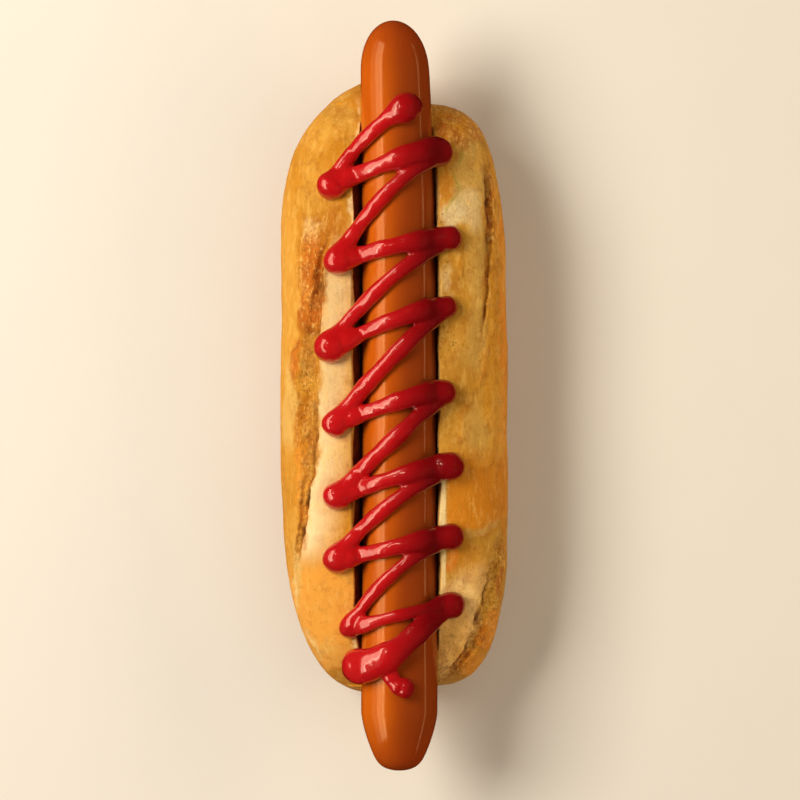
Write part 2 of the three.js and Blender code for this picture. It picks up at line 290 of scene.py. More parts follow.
def tearParts(x, y):  # height that the tears add, and the masks that colour them
    bands = tearBands
    height = np.zeros_like(x)
    masks = {name: np.zeros_like(x) for name in ("slab", "hollow", "groove", "lip", "torn")}
    for tear in tears.values():
        lineX, w, gape, lean, fade = tearLine(tear, y)
        side = tear["side"]
        fade = np.where(np.sign(x) == side, fade, 0.0)
        d = (x - lineX) * side * lean
        grooveWidth = bands["grooveWidth"][0] + bands["grooveWidth"][1] * gape
        hollow = within(d, bands["hollowFrom"] + tuple(share * w for share in bands["hollowTo"]))
        parts = dict(
            slab=smooth(d, *bands["slabTint"]) * (d < 0.0),
            hollow=hollow * np.minimum(1.0, 0.2 + 0.3 * w),
            groove=np.clip(1.0 - np.abs(d - bands["grooveMiddle"]) / grooveWidth, 0.0, 1.0) * gape,
            lip=bell(d, bands["lipMiddle"] * w, bands["lipWidth"] * w),
            torn=within(d, bands["tornFrom"] + tuple(share * w for share in bands["tornTo"])),
        )
        slab = within(d, bands["slab"]) * (d < 0.0)
        height += fade * (tear["slab"] * slab - tear["groove"] * parts["groove"])
        height += fade * (tear["lip"] * parts["lip"] - tear["hollow"] * parts["hollow"])
        for name, part in parts.items():
            masks[name] = np.maximum(masks[name], fade * part)
    return height, masks


def doughWave(x, y):  # long low waves in the crust
    wave = 0.45 * np.sin(0.083 * y + 0.9) * np.cos(0.11 * x + 0.4)
    return wave + 0.3 * np.sin(0.19 * y - 0.16 * x + 2.1)


def rollTop(x, y, section):  # height of the crust's upper side
    r = rollSizes
    width = np.where(x < section["middle"], section["left"], section["right"])
    share = np.clip(np.abs(x - section["middle"]) / width, 0.0, 1.0)
    roundness = (1.0 - share ** r["upperPower"]) ** (1.0 / r["upperPower"])
    upright = smooth(roundness, 0.15, 0.7) * smooth(section["topShare"], 0.1, 0.6)
    height = tearParts(x, y)[0] + doughWave(x, y)
    return section["wideZ"] + section["rise"] * roundness + upright * height


def slotHalf(side, y):  # half-width of the cut at the crust
    r = rollSizes
    radius = sausageAt(np.clip(y, -95.0, 95.0))[1]
    opened = (r["slotLeft"] if side < 0 else r["slotRight"]) + r["slotWaver"] * np.sin(0.21 * y + side)
    return mix(opened, radius + 0.4, smooth(np.abs(y), r["slotClosedFrom"], r["slotClosedBy"]))


def eased(low, high, count, ease):  # evenly spaced, but closer together at both ends
    t = np.linspace(0.0, 1.0, count)
    return mix(low, high, mix(t, 0.5 - 0.5 * np.cos(math.pi * t), ease))


# Making meshes.

def gridNormals(points):  # the outward direction at each point of a skin made of rings
    along = np.gradient(points, axis=0)
    around = np.roll(points, -1, axis=1) - np.roll(points, 1, axis=1)
    normal = np.cross(around, along)
    return normal / (np.linalg.norm(normal, axis=-1, keepdims=True) + 1e-9)


def tubeMesh(name, points):  # a closed skin through rings of points, with a fan on both ends
    rows, ring = points.shape[:2]
    flat = points.reshape(-1, 3)
    first = points[0].mean(axis=0)
    last = points[-1].mean(axis=0)
    verts = np.concatenate([flat, [first, last]]) * mm
    i, j = np.meshgrid(np.arange(rows - 1), np.arange(ring), indexing="ij")
    k = (j + 1) % ring
    quads = np.stack([i * ring + j, i * ring + k, (i + 1) * ring + k, (i + 1) * ring + j], axis=-1)
    faces = quads.reshape(-1, 4).tolist()
    for j in range(ring):
        k = (j + 1) % ring
        faces.append([rows * ring, k, j])
        faces.append([rows * ring + 1, (rows - 1) * ring + j, (rows - 1) * ring + k])
    mesh = bpy.data.meshes.new(name)
    mesh.from_pydata(verts.tolist(), [], faces)
    mesh.update()
    piece = bpy.data.objects.new(name, mesh)
    bpy.context.scene.collection.objects.link(piece)
    mesh.shade_smooth()
    return piece


def readVertices(mesh, name):
    values = np.empty(len(mesh.vertices) * 3)
    mesh.vertices.foreach_get(name, values)
    return values.reshape(-1, 3)


def storeColour(piece, name, values):  # one colour a vertex, which the material reads by name
    spare = len(piece.data.vertices) - values.shape[0] * values.shape[1]
    full = np.concatenate([values.reshape(-1, 3), np.tile(values[0, 0], (spare, 1))])
    full = np.concatenate([full, np.ones((len(full), 1))], axis=1)
    layer = piece.data.color_attributes.new(name, "FLOAT_COLOR", "POINT")
    layer.data.foreach_set("color", full.reshape(-1).astype(np.float32))


def storeMask(piece, name, values):  # the same with one number a vertex
    spare = len(piece.data.vertices) - values.size
    full = np.concatenate([values.reshape(-1), np.zeros(spare)]).astype(np.float32)
    layer = piece.data.attributes.new(name, "FLOAT", "POINT")
    layer.data.foreach_set("value", full)


# The roll.

rollLook = dict(
    slotRound=9,  # points round the bed under the sausage, on each side
    slotWall=9,
    inner=38,  # points from the cut's edge to the tear
    outer=24,  # and from the tear to the rim
    side=20,  # points down the flank
    base=11,
    flankDegrees=66.0,
    tearSteps=(-1.7, -1.2, -0.8, -0.5, -0.25, -0.05, 0.12, 0.3, 0.5, 0.75, 1.05, 1.4, 1.9),
    edgeRound=0.9,  # how far the cut's edge is rounded down
    bedClearance=0.12,
    crustGrain=0.10,
    wrinkle=0.045,
    blister=0.10,
    dent=0.25,
    pit=0.55,
    crumbGrain=0.30,
    flake=0.55,
    ridge=0.25,
    skinStep=0.22,
    bend=0.25,  # how softly the bed gives way to the cut's edge
    crustBend=0.08,  # and to the crust
    bedReach=0.8,
    farReach=0.72,  # how far the bed may reach into the other side
    lipRoom=0.15,  # between the bed and the edge of the cut
    edgeMost=0.93,
    slotDeep=(0.25, 0.7),  # how deep the cut's shade begins and is full
    slotOpen=(0.30, 0.45),
    brownHead=(-24.0, -13.0),
    brownFromCut=(15.0, 15.5),
    wrinkleLength=0.16,
    # Noises: reach, size and seed.
    wrinkles=((1.0, 1.5, 13), (0.6, 0.8, 14)),
    pits=((1.0, 1.9, 15), (0.5, 1.0, 16)),
    strayX=((1.0, 6.0, 41), (0.7, 2.2, 42), (0.35, 1.2, 45)),
    strayY=((1.6, 7.0, 43), (1.0, 2.6, 44), (0.5, 1.3, 46)),
)


def rollSide(side, y, section):  # one side's points, from under the sausage round to the roll's base
    r = rollSizes
    look = rollLook
    axisX, radius, full = sausageAt(y)
    axisZ = sausageSizes["axisZ"]
    middle = section["middle"]
    width = section["left" if side < 0 else "right"]
    otherWidth = section["right" if side < 0 else "left"]
    bed = full + look["bedClearance"]
    toAxis = side * (axisX - middle)
    edge = toAxis + np.maximum(slotHalf(side, y), bed + look["lipRoom"])
    edgeShare = np.minimum(edge / width, look["edgeMost"])
    limit = edgeShare * width
    columns = []

    def addColumn(out, z=None):  # out is measured from the section's middle
        x = middle + side * out
        top = rollTop(x, y, section)
        columns.append((x, top if z is None else softMin(z, top, look["crustBend"])))

    for k in range(1, look["slotRound"] + 1):
        angle = -math.pi / 2.0 * (1.0 - k / look["slotRound"])
        spread = 0.9 + 0.05 * k / look["slotRound"]
        out = np.maximum(toAxis + bed * math.cos(angle), -otherWidth * (look["farReach"] - 0.05 * k))
        addColumn(softMin(out, limit * spread, look["bend"]), axisZ + bed * math.sin(angle))
    edgeZ = rollTop(middle + side * limit, y, section)
    # The cut has no walls where the roll's end dips below the sausage.
    isOpen = smooth(edgeZ, axisZ - 2.5, axisZ + 1.5)
    for k in range(1, look["slotWall"] + 1):
        t = k / look["slotWall"]
        out = mix(toAxis + bed, limit, t ** 1.15)
        z = mix(axisZ, edgeZ + mix(0.3, -0.35 * look["edgeRound"], isOpen), t)
        addColumn(softMin(out, limit * (0.95 + 0.05 * t), 0.15), z)

    # From here each point lies on the crust, at a share of the way from the middle to the rim.
    foot, head = (tears["left"], tears["left"]) if side < 0 else (tears["rightFoot"], tears["rightHead"])
    lineX = mix(tearLine(foot, y)[0], tearLine(head, y)[0], smooth(y, -32.0, 12.0))
    size = np.maximum(width, 18.0)
    lineShare = np.clip(np.abs(lineX - middle) / size, 0.52, 0.86)
    lineShare = np.maximum(lineShare, edgeShare + 0.03)
    steps = look["tearSteps"]
    halfSpan = steps[-1] / size
    startShare = np.maximum(np.minimum(lineShare - halfSpan, 0.90), edgeShare + 0.005)
    endShare = startShare + np.minimum(2.0 * halfSpan, (0.97 - startShare) * 0.6)
    power = r["upperPower"]

    def angleOf(share):
        return np.arccos(np.clip(share, 0.0, 1.0) ** (power / 2.0))

    for k in range(1, look["inner"] + 1):
        t = k / (look["inner"] + 1)
        addColumn(np.cos(mix(angleOf(edgeShare), angleOf(startShare), t ** 1.1)) ** (2.0 / power) * width)
    for step in steps:
        t = (step - steps[0]) / (steps[-1] - steps[0])
        addColumn(mix(startShare, endShare, t) * width)
    for k in range(1, look["outer"] + 1):
        addColumn(np.cos(mix(angleOf(endShare), 0.0, k / look["outer"])) ** (2.0 / power) * width)

    power = r["lowerPower"]
    lowEnd = look["flankDegrees"]
    angles = list(np.linspace(0.0, lowEnd, look["side"] + 1)[1:])
    angles += list(np.linspace(lowEnd, 90.0, look["base"] + 2)[1:-1])
    for angle in np.radians(angles):
        x = middle + side * math.cos(angle) ** (2.0 / power) * width
        z = section["wideZ"] - (section["drop"] + r["flatCut"]) * math.sin(angle) ** (2.0 / power)
        columns.append((x, -softMin(-z, 0.0, 0.12)))
    return columns


# Colours of the roll by name, as seen under white light, but for a few that are painted light and shade.
crustTints = dict(
    golden="ca8824",
    goldenLow="efa645",
    lightGolden="dc9e3c",
    paleOrange="deb05e",
    ochre="bd872f",
    reddish="b8701f",
    ear="d0701c",
    earDark="ac5a1c",
    earDeep="8a4412",
    oliveBrown="94621f",
    tan="c98220",
    oliveTan="bd8334",
    crumbYellow="daa23c",
    crumbOlive="cc983a",
    ridgeOrange="e89a34",
    flakyBrown="d68a1e",
    olivePale="c69c4e",
    olive="a09238",
    orange="c27e26",
    creamRight="dec894",
    creamLeft="f6dea4",
    slab="ffe0a8",
    # painted shade on the slab's upper end
    slabShade="e0bf84",
    red="96401c",
    brownPatch="d2821e",
    orangePatch="d87824",
    floury="e6b862",
    flouryPale="fad28a",
    flouryPink="deb06c",
    # floury colour lightened as painted light
    flouryPaintedLight="ffc86c",
    rimGolden="dc9a2e",
    rimOrange="e68e26",
    rimRed="b85e1c",
    brownRim="a8601c",
    # the pale colour of the painted highlight lines
    highlightLine="eecb86",
    # painted shade: the cut's crumb as it looks in shade
    shadedCut="6e3c18",
    cutCream="d9b878",
    side="b26c26",
    base="a4662a",
)

# Soft patches: colour, middle, half-sizes, tilt and strength, laid over one another in this order.
crustPatches = [
    ("goldenLow", -24.0, -68.0, 14.0, 16.0, -12, 0.9),
    ("lightGolden", -22.9, 87.7, 8.3, 7.0, 40, 0.5),
    ("lightGolden", -34.0, 22.0, 3.4, 44.0, 0, 0.85),
    ("paleOrange", -33.6, -3.0, 2.1, 14.0, 0, 0.8),
    ("ochre", -17.8, 90.3, 5.1, 3.8, 0, 0.7),
    ("lightGolden", -24.8, 81.4, 3.8, 3.2, -20, 0.5),
    ("ochre", -14.4, 88.6, 2.6, 5.0, 0, 0.5),
    ("ochre", -13.6, 70.0, 2.4, 18.0, 0, 0.4),
    ("ochre", -24.2, 60.7, 4.9, 4.8, 0, 0.35),
    ("reddish", -22.9, 52.1, 5.6, 6.0, -20, 0.7),
    ("reddish", -17.6, 56.0, 3.0, 5.0, 20, 0.7),
    # A painted highlight on the ear's upper end.
    ("flouryPale", -26.8, 52.0, 2.6, 4.8, 0, 0.65),
    ("ear", -26.4, 35.0, 4.3, 15.5, 0, 0.95),
    ("earDark", -24.0, 31.0, 1.2, 8.0, -4, 0.55),
    ("earDark", -28.8, 24.0, 1.6, 6.0, 0, 0.45),
    # Painted shade beside the slab's raised left edge.
    ("oliveBrown", -22.0, 36.1, 1.2, 7.0, -5, 0.6),
    ("tan", -27.4, 9.0, 4.2, 11.0, 0, 0.95),
    ("earDeep", -25.2, 20.4, 2.8, 1.7, 10, 0.75),
    ("oliveTan", -26.8, 13.5, 2.4, 6.5, 0, 0.6),
    ("ear", -31.6, 12.0, 1.3, 6.0, 0, 0.8),
    ("oliveBrown", -27.1, 7.5, 1.6, 2.4, 0, 0.6),
    ("crumbYellow", -27.8, 3.4, 3.2, 4.0, 0, 0.75),
    ("tan", -27.4, -12.0, 3.8, 13.0, 0, 0.95),
    ("lightGolden", -28.2, -12.5, 1.5, 3.2, 0, 0.6),
    ("oliveTan", -25.4, -9.4, 1.5, 11.6, 0, 0.6),
    ("oliveBrown", -25.0, -4.2, 1.2, 3.0, 0, 0.4),
    ("ridgeOrange", -29.6, -30.7, 2.6, 15.6, 0, 0.9),
    ("lightGolden", -32.0, -43.0, 2.4, 7.0, 0, 0.6),
    ("oliveTan", -26.4, -21.2, 1.7, 5.7, 0, 0.6),
    ("ear", -27.1, -28.2, 1.0, 2.5, 0, 0.8),
    ("paleOrange", -31.2, -56.0, 1.8, 10.0, 4, 0.75),
    ("paleOrange", -20.4, -82.7, 5.1, 3.8, -20, 0.5),
    ("goldenLow", -20.5, -85.0, 9.0, 4.0, 20, 0.75),
    ("flakyBrown", 21.0, 87.7, 9.3, 5.6, -25, 0.7),
    ("ochre", 18.0, 93.0, 8.0, 2.2, -12, 0.5),
    ("earDark", 18.5, 89.3, 1.6, 0.9, -10, 0.85),
    ("ear", 15.2, 84.0, 2.2, 4.4, 10, 0.8),
    ("earDark", 18.8, 83.4, 1.0, 3.6, 20, 0.8),
    ("lightGolden", 24.6, 84.2, 1.8, 1.6, 0, 0.6),
    ("ear", 28.0, 85.2, 1.6, 3.8, -35, 0.7),
    ("earDark", 22.6, 82.3, 0.9, 0.9, 0, 0.7),
    ("ochre", 19.4, 10.5, 5.0, 20.0, 0, 0.65),
    ("rimGolden", 32.6, 26.0, 4.0, 62.0, 0, 0.8),
    ("rimOrange", 35.8, 16.0, 2.0, 60.0, 0, 0.8),
    ("olivePale", 24.6, 69.6, 5.1, 14.7, 0, 0.95),
    ("olivePale", 26.2, 44.5, 3.1, 12.8, 0, 0.75),
    ("crumbYellow", 22.6, 48.0, 4.0, 7.0, 0, 0.35),
    ("olivePale", 26.8, 20.9, 3.4, 12.7, 0, 0.65),
    ("olivePale", 26.1, -11.0, 3.8, 8.3, 0, 0.65),
    ("olivePale", 24.2, 11.9, 3.8, 3.8, 0, 0.4),
    ("crumbYellow", 28.4, 76.0, 1.6, 4.4, 8, 0.6),
    ("olive", 21.3, 76.0, 0.9, 2.6, -10, 0.6),
    ("orange", 16.4, 66.5, 2.5, 8.4, -8, 0.9),
    ("creamRight", 19.4, 57.8, 3.8, 4.2, 30, 1.0),
    ("creamRight", 23.4, 60.0, 4.4, 6.8, 15, 0.55),
    ("creamRight", 17.2, 37.7, 1.6, 5.1, 0, 0.4),
    ("red", 30.9, 59.0, 1.4, 6.5, 0, 0.65),
    ("ridgeOrange", 31.6, 65.5, 1.3, 3.2, 0, 0.8),
    ("ridgeOrange", 33.0, 53.0, 1.2, 6.0, 0, 0.7),
    ("orange", 21.3, 41.2, 1.2, 3.4, 0, 0.3),
    ("floury", 27.7, -59.4, 3.4, 7.0, 5, 0.8),
    ("tan", 24.0, -54.0, 5.0, 6.5, 0, 0.60),
    ("flouryPale", 19.4, -73.1, 6.8, 16.5, -15, 0.85),
    # Painted light: these two patches lighten the floury crust where the sausage and ketchup shade it.
    ("goldenLow", 19.6, -76.0, 4.6, 8.0, -15, 0.45),
    ("flouryPaintedLight", 18.2, -79.5, 5.0, 7.0, -10, 0.8),
    ("flouryPink", 27.1, -58.1, 1.9, 4.5, 0, 0.6),
    ("orangePatch", 18.5, -52.4, 1.9, 3.5, 0, 0.8),
    ("crumbOlive", 32.5, -49.8, 2.2, 8.3, -10, 0.8),
    ("crumbYellow", 30.6, -65.1, 2.9, 6.4, -10, 0.8),
    ("crumbYellow", 32.8, -54.0, 1.6, 3.8, 0, 0.5),
    ("rimRed", 34.1, -60.4, 1.2, 5.1, -5, 0.8),
    ("rimOrange", 30.3, -75.3, 2.9, 7.0, -22, 0.85),
    ("rimOrange", 24.8, -86.8, 5.1, 4.5, -40, 0.8),
    ("earDark", 28.3, -76.9, 1.0, 1.0, 0, 0.8),
]

# Streaks: colour, half-width, strength and the line they follow.
crustStreaks = [
    ("orange", 1.0, 0.75, [(32.8, 42.5), (33.1, 30.4), (31.5, 16.4), (28.7, 5.3), (24.5, -1.1)]),
    ("orange", 0.9, 0.75, [(22.3, -4.0), (21.3, -8.4), (20.4, -13.5)]),
    ("orange", 1.1, 0.70, [(34.7, -2.7), (33.1, -6.5), (31.9, -12.9), (31.2, -19.9)]),
    ("orange", 0.9, 0.30, [(21.7, 44.4), (21.3, 38.4)]),
    ("creamRight", 0.6, 0.50, [(14.7, 65.5), (14.7, 52.1)]),
    ("creamRight", 0.6, 0.60, [(15.1, 42.5), (15.1, 30.4)]),
    ("creamRight", 0.4, 0.50, [(-24.2, 57.8), (-23.3, 54.0)]),
    ("earDark", 0.5, 0.70, [(-29.6, 42.5), (-29.9, 30.4), (-29.6, 24.0)]),
    ("brownRim", 0.6, 0.85, [(-24.2, 23.0), (-29.6, 19.8), (-31.9, 16.1), (-32.5, 11.3), (-31.2, 0.2)]),
    ("brownRim", 0.5, 0.50, [(-31.2, 0.2), (-30.9, -7.8), (-31.2, -15.8)]),
    ("brownRim", 0.7, 0.40, [(-30.6, -19.0), (-29.9, -33.3), (-28.7, -47.6)]),
    ("olive", 0.5, 0.80, [(18.8, 72.5), (20.0, 69.3), (20.8, 66.7), (19.4, 63.5), (17.2, 59.7)]),
    ("red", 0.8, 0.85, [(29.9, 74.0), (30.3, 66.0), (30.6, 58.0), (30.2, 50.0)]),
    ("red", 0.4, 0.60, [(30.2, 50.0), (29.9, 36.0), (29.0, 24.0)]),
    # Painted highlights: pale lines along the left flank's ridges and along the brown patch's step.
    ("highlightLine", 1.0, 0.65, [(-31.2, -51.1), (-31.9, -60.4), (-30.9, -69.9)]),
    ("highlightLine", 0.9, 0.60, [(-28.0, -76.6), (-24.5, -83.6)]),
    ("highlightLine", 1.4, 0.25, [(33.2, -38.9), (28.4, -43.0), (24.2, -45.4)]),
]

# Soft ovals with the same numbers but no colour.
roughPatches = [  # where the crust is rough and flaky
    (-26.2, 39.0, 5.0, 15.0, 0, 1.0),
    (-22.9, 52.1, 5.1, 5.7, -20, 0.5),
    (21.0, 87.0, 10.0, 8.0, -25, 0.9),
    (31.0, 60.0, 2.0, 12.0, 0, 0.6),
    (20.5, 57.5, 5.0, 4.5, 20, 0.5),
    (31.0, -66.0, 5.0, 18.0, -15, 0.6),
    (18.0, -86.0, 7.0, 5.0, -30, 0.6),
]
speckPatches = [  # where it is dotted with dark specks
    (17.2, 18.5, 2.6, 3.8, 0, 1.0),
    (15.6, 11.5, 1.5, 4.0, 0, 0.9),
    (15.9, 42.0, 1.3, 2.0, 0, 0.8),
    (17.0, -2.0, 3.4, 2.4, 0, 0.7),
    (16.0, 57.0, 2.4, 1.8, 0, 0.7),
    (-28.2, 4.0, 3.2, 5.0, 0, 0.5),
    (19.0, -78.0, 6.0, 12.0, -20, 0.25),
]
cleanPatches = [  # where it is smooth and hardly freckled
    (-33.6, 20.0, 3.6, 70.0, 0, 0.9),
    (-24.0, -66.0, 12.0, 20.0, -12, 0.6),
    (20.5, 58.0, 6.0, 7.0, 20, 0.9),
    (25.0, -34.0, 10.0, 9.0, 0, 0.6),
]
drawnPatches = [  # where thin dark scratches run lengthwise
    (-26.4, 36.0, 4.8, 17.0, 0, 1.0),
    (-28.0, -24.0, 3.4, 26.0, 0, 0.7),
    (-27.4, 8.0, 4.0, 10.0, 0, 0.5),
    (31.6, 44.0, 2.6, 34.0, 0, 0.9),
    (33.6, 0.0, 2.2, 24.0, 0, 0.4),
    (29.4, -68.0, 4.4, 22.0, -16, 0.7),
]
# The brown patch's lower border.
brownEdge = [(15.0, -45.0), (23.6, -44.1), (28.0, -42.4), (31.7, -40.0), (36.6, -37.2)]

# Bands of colour: where each begins and is full, and for those with four, begins to end and has ended.
crustBands = dict(
    ochre=(-4.0, 14.0),  # across, from the left
    side=(8.0, 25.0),  # upwards
    base=(0.3, 5.0),
    calmBase=(0.5, 9.0),
    slabEnd=(44.0, 62.0),  # towards the foot
    slabShade=(-20.0, 8.0),  # where the painted shade on the slab grows, towards the head
    stripOut=(12.4, 12.8, 14.5, 15.0),  # the cream strip to the right of the sausage
    stripAlong=(22.0, 27.0, 61.0, 65.0),
    shadedEdgeOut=(14.0, 14.4, 15.1, 15.7),  # the painted shade on the crust's edge to the left of it
    shadedEdgeAlong=(-58.0, -50.0, 36.0, 44.0),
    headFluff=(38.0, 52.0, 88.0, 97.0),
    footFluff=(70.0, 76.0, 84.0, 91.0),
    fluffStray=((1.3, 2.8, 48), (0.8, 1.4, 49)),
)


def patch(x, y, middleX, middleY, sizeX, sizeY, tilt, soft=0.45):  # a soft oval
    a = math.radians(tilt)
    u = ((x - middleX) * math.cos(a) + (y - middleY) * math.sin(a)) / sizeX
    v = (-(x - middleX) * math.sin(a) + (y - middleY) * math.cos(a)) / sizeY
    return 1.0 - smooth(np.sqrt(u * u + v * v), 1.0 - soft, 1.0 + soft)


def patches(x, y, places):  # the strongest of several ovals at each point
    mask = np.zeros_like(x)
    for mx, my, sx, sy, tilt, strength in places:
        mask = np.maximum(mask, strength * patch(x, y, mx, my, sx, sy, tilt))
    return mask


def streak(x, y, width, line):  # a soft line through the given points
    nearest = np.full_like(x, 1e6)
    for (x0, y0), (x1, y1) in zip(line, line[1:]):
        run = (x1 - x0) ** 2 + (y1 - y0) ** 2
        t = np.clip(((x - x0) * (x1 - x0) + (y - y0) * (y1 - y0)) / run, 0.0, 1.0)
        away = np.hypot(x - mix(x0, x1, t), y - mix(y0, y1, t))
        nearest = np.minimum(nearest, away)
    return 1.0 - smooth(nearest, 0.35 * width, 1.25 * width)


def paintOver(colour, name, mask):  # lays a named colour over what is there
    target = np.array(tint(crustTints[name])[:3])
    return colour + (target - colour) * mask[..., None]


def flakes(points):  # steps such as thin torn layers leave
    layers = 3.0
    value = lumps(points, 5.0, 21, 4) * layers
    whole = np.floor(value)
    return (whole + smooth(value - whole, 0.72, 1.0)) / layers


def rollSkin(y):  # the skin's points, row by row, and how many points each column is from the bed
    look = rollLook
    section = rollAt(y)
    middle = section["middle"]
    axisX, radius, full = sausageAt(y)
    bedZ = sausageSizes["axisZ"] - full - look["bedClearance"]
    bedX = softMin(axisX - middle, look["bedReach"] * section["right"], look["bend"]) + middle
    bedX = np.maximum(bedX, middle - look["bedReach"] * section["left"])
    bedPoint = (bedX, softMin(bedZ, rollTop(bedX, y, section), look["crustBend"]))
    basePoint = (middle, np.maximum(0.0, section["wideZ"] - section["drop"] - rollSizes["flatCut"]))
    columns = [bedPoint] + rollSide(1, y, section) + [basePoint] + rollSide(-1, y, section)[::-1]
    x = np.stack([c[0] for c in columns], axis=1)
    z = np.stack([c[1] for c in columns], axis=1)
    points = np.stack([x, np.repeat(y[:, None], x.shape[1], axis=1), z], axis=-1)
    place = np.arange(x.shape[1])
    return points, np.minimum(place, x.shape[1] - place)


def rollZones(points, fromBed):  # masks that say where the cut, the crust, its tears and its patches are
    look = rollLook
    solid = points.copy()
    x, y, z = solid[..., 0], solid[..., 1], solid[..., 2]
    section = rollAt(y)
    slotPoints = look["slotRound"] + look["slotWall"]
    topPoints = slotPoints + look["inner"] + len(look["tearSteps"]) + look["outer"]
    onCrust = (fromBed > slotPoints)[None, :] * np.ones_like(x)
    isTop = onCrust * (fromBed <= topPoints)[None, :]
    inSlot = (1.0 - onCrust) * smooth(rollTop(x, y, section) - z, *look["slotDeep"])
    inSlot = inSlot * smooth(section["topShare"], *look["slotOpen"])
    upright = isTop * smooth(z, section["wideZ"] + 3.0, section["wideZ"] + 12.0)
    above = isTop * smooth(z, section["wideZ"] - 1.0, section["wideZ"] + 7.0)
    zones = {name: part * upright for name, part in tearParts(x, y)[1].items()}
    wx = strayed(x, solid, look["strayX"])
    wy = strayed(y, solid, look["strayY"])
    offAxis = x - sausageAt(y)[0]
    edge = np.interp(wx, [p[0] for p in brownEdge], [p[1] for p in brownEdge])
    brown = smooth(wy - edge, -0.2, 0.5) * (1.0 - smooth(wy, *look["brownHead"])) * (offAxis > 0) * above
    zones.update(
        x=x, y=y, z=z, wx=wx, wy=wy, offAxis=offAxis, solid=solid,
        onCrust=onCrust, isTop=isTop, inSlot=inSlot, upright=upright, above=above,
        isLeft=x < sausageAt(y)[0],
        rough=np.clip(patches(wx, wy, roughPatches) * isTop + 0.6 * zones["torn"], 0.0, 1.0),
        crumb=np.clip(zones["hollow"] + 0.5 * inSlot, 0.0, 1.0),
        specks=patches(wx, wy, speckPatches) * isTop,
        drawn=patches(wx, wy, drawnPatches) * above,
        leftSlab=zones["slab"] * (x < 0),
        brown=brown * smooth(offAxis, *look["brownFromCut"]),
    )
    return zones


def undercut(points, zones):  # the slab overhangs the bottom of the groove beside it
    for tear in tears.values():
        side = tear["side"]
        lineX, w, gape, lean, fade = tearLine(tear, zones["y"])
        d = (zones["x"] - lineX) * side * lean
        here = fade * zones["upright"] * gape * (np.sign(zones["x"]) == side)
        points[..., 0] -= side * tear["undercut"] * here * bell(d, 0.45, 0.42)


def rollRelief(zones):  # how far the skin stands out or in
    look = rollLook
    solid, rough, crumb = zones["solid"], zones["rough"], zones["crumb"]
    ridges = np.zeros_like(rough)
    for name, width, strength, line in crustStreaks:
        if name == "orange":
            here = streak(zones["wx"], zones["wy"], width * 1.2, line) * zones["above"]
            ridges = np.maximum(ridges, here)
    stretched = solid * np.array([1.0, look["wrinkleLength"], 1.0])
    wrinkles = strayed(0.0, stretched, look["wrinkles"])
    blisters = smooth(softNoise(solid, 3.2, 19), 0.30, 0.75)
    pits = smooth(strayed(0.0, solid, look["pits"]), 0.05, 0.75)
    calm = (1.0 - rough) * (1.0 - crumb) * zones["onCrust"]
    shift = look["crustGrain"] * lumps(solid, 4.5, 3, 4)
    shift = shift + (look["wrinkle"] * wrinkles + look["blister"] * blisters) * calm
    shift = shift + look["dent"] * softNoise(solid, 12.0, 29) * zones["onCrust"]
    shift = shift - look["pit"] * pits * crumb + look["crumbGrain"] * lumps(solid, 2.6, 11, 3) * crumb
    shift = shift + look["flake"] * flakes(solid) * rough * (1.0 - zones["groove"])
    return shift + look["ridge"] * ridges + look["skinStep"] * zones["brown"]


def creamFluff(zones):  # pale crumb along the left edge of the cut, near both ends of the roll
    y = zones["y"]
    fromEdge = -zones["offAxis"] - slotHalf(-1, y)
    fromEdge = strayed(fromEdge, zones["solid"], crustBands["fluffStray"])
    head = (1.0 - smooth(fromEdge, 0.4, 1.5)) * within(y, crustBands["headFluff"])
    foot = (1.0 - smooth(fromEdge, 0.2, 1.2)) * within(-y, crustBands["footFluff"])
    return np.clip((head + foot) * (zones["offAxis"] < 0) * zones["isTop"], 0.0, 1.0)


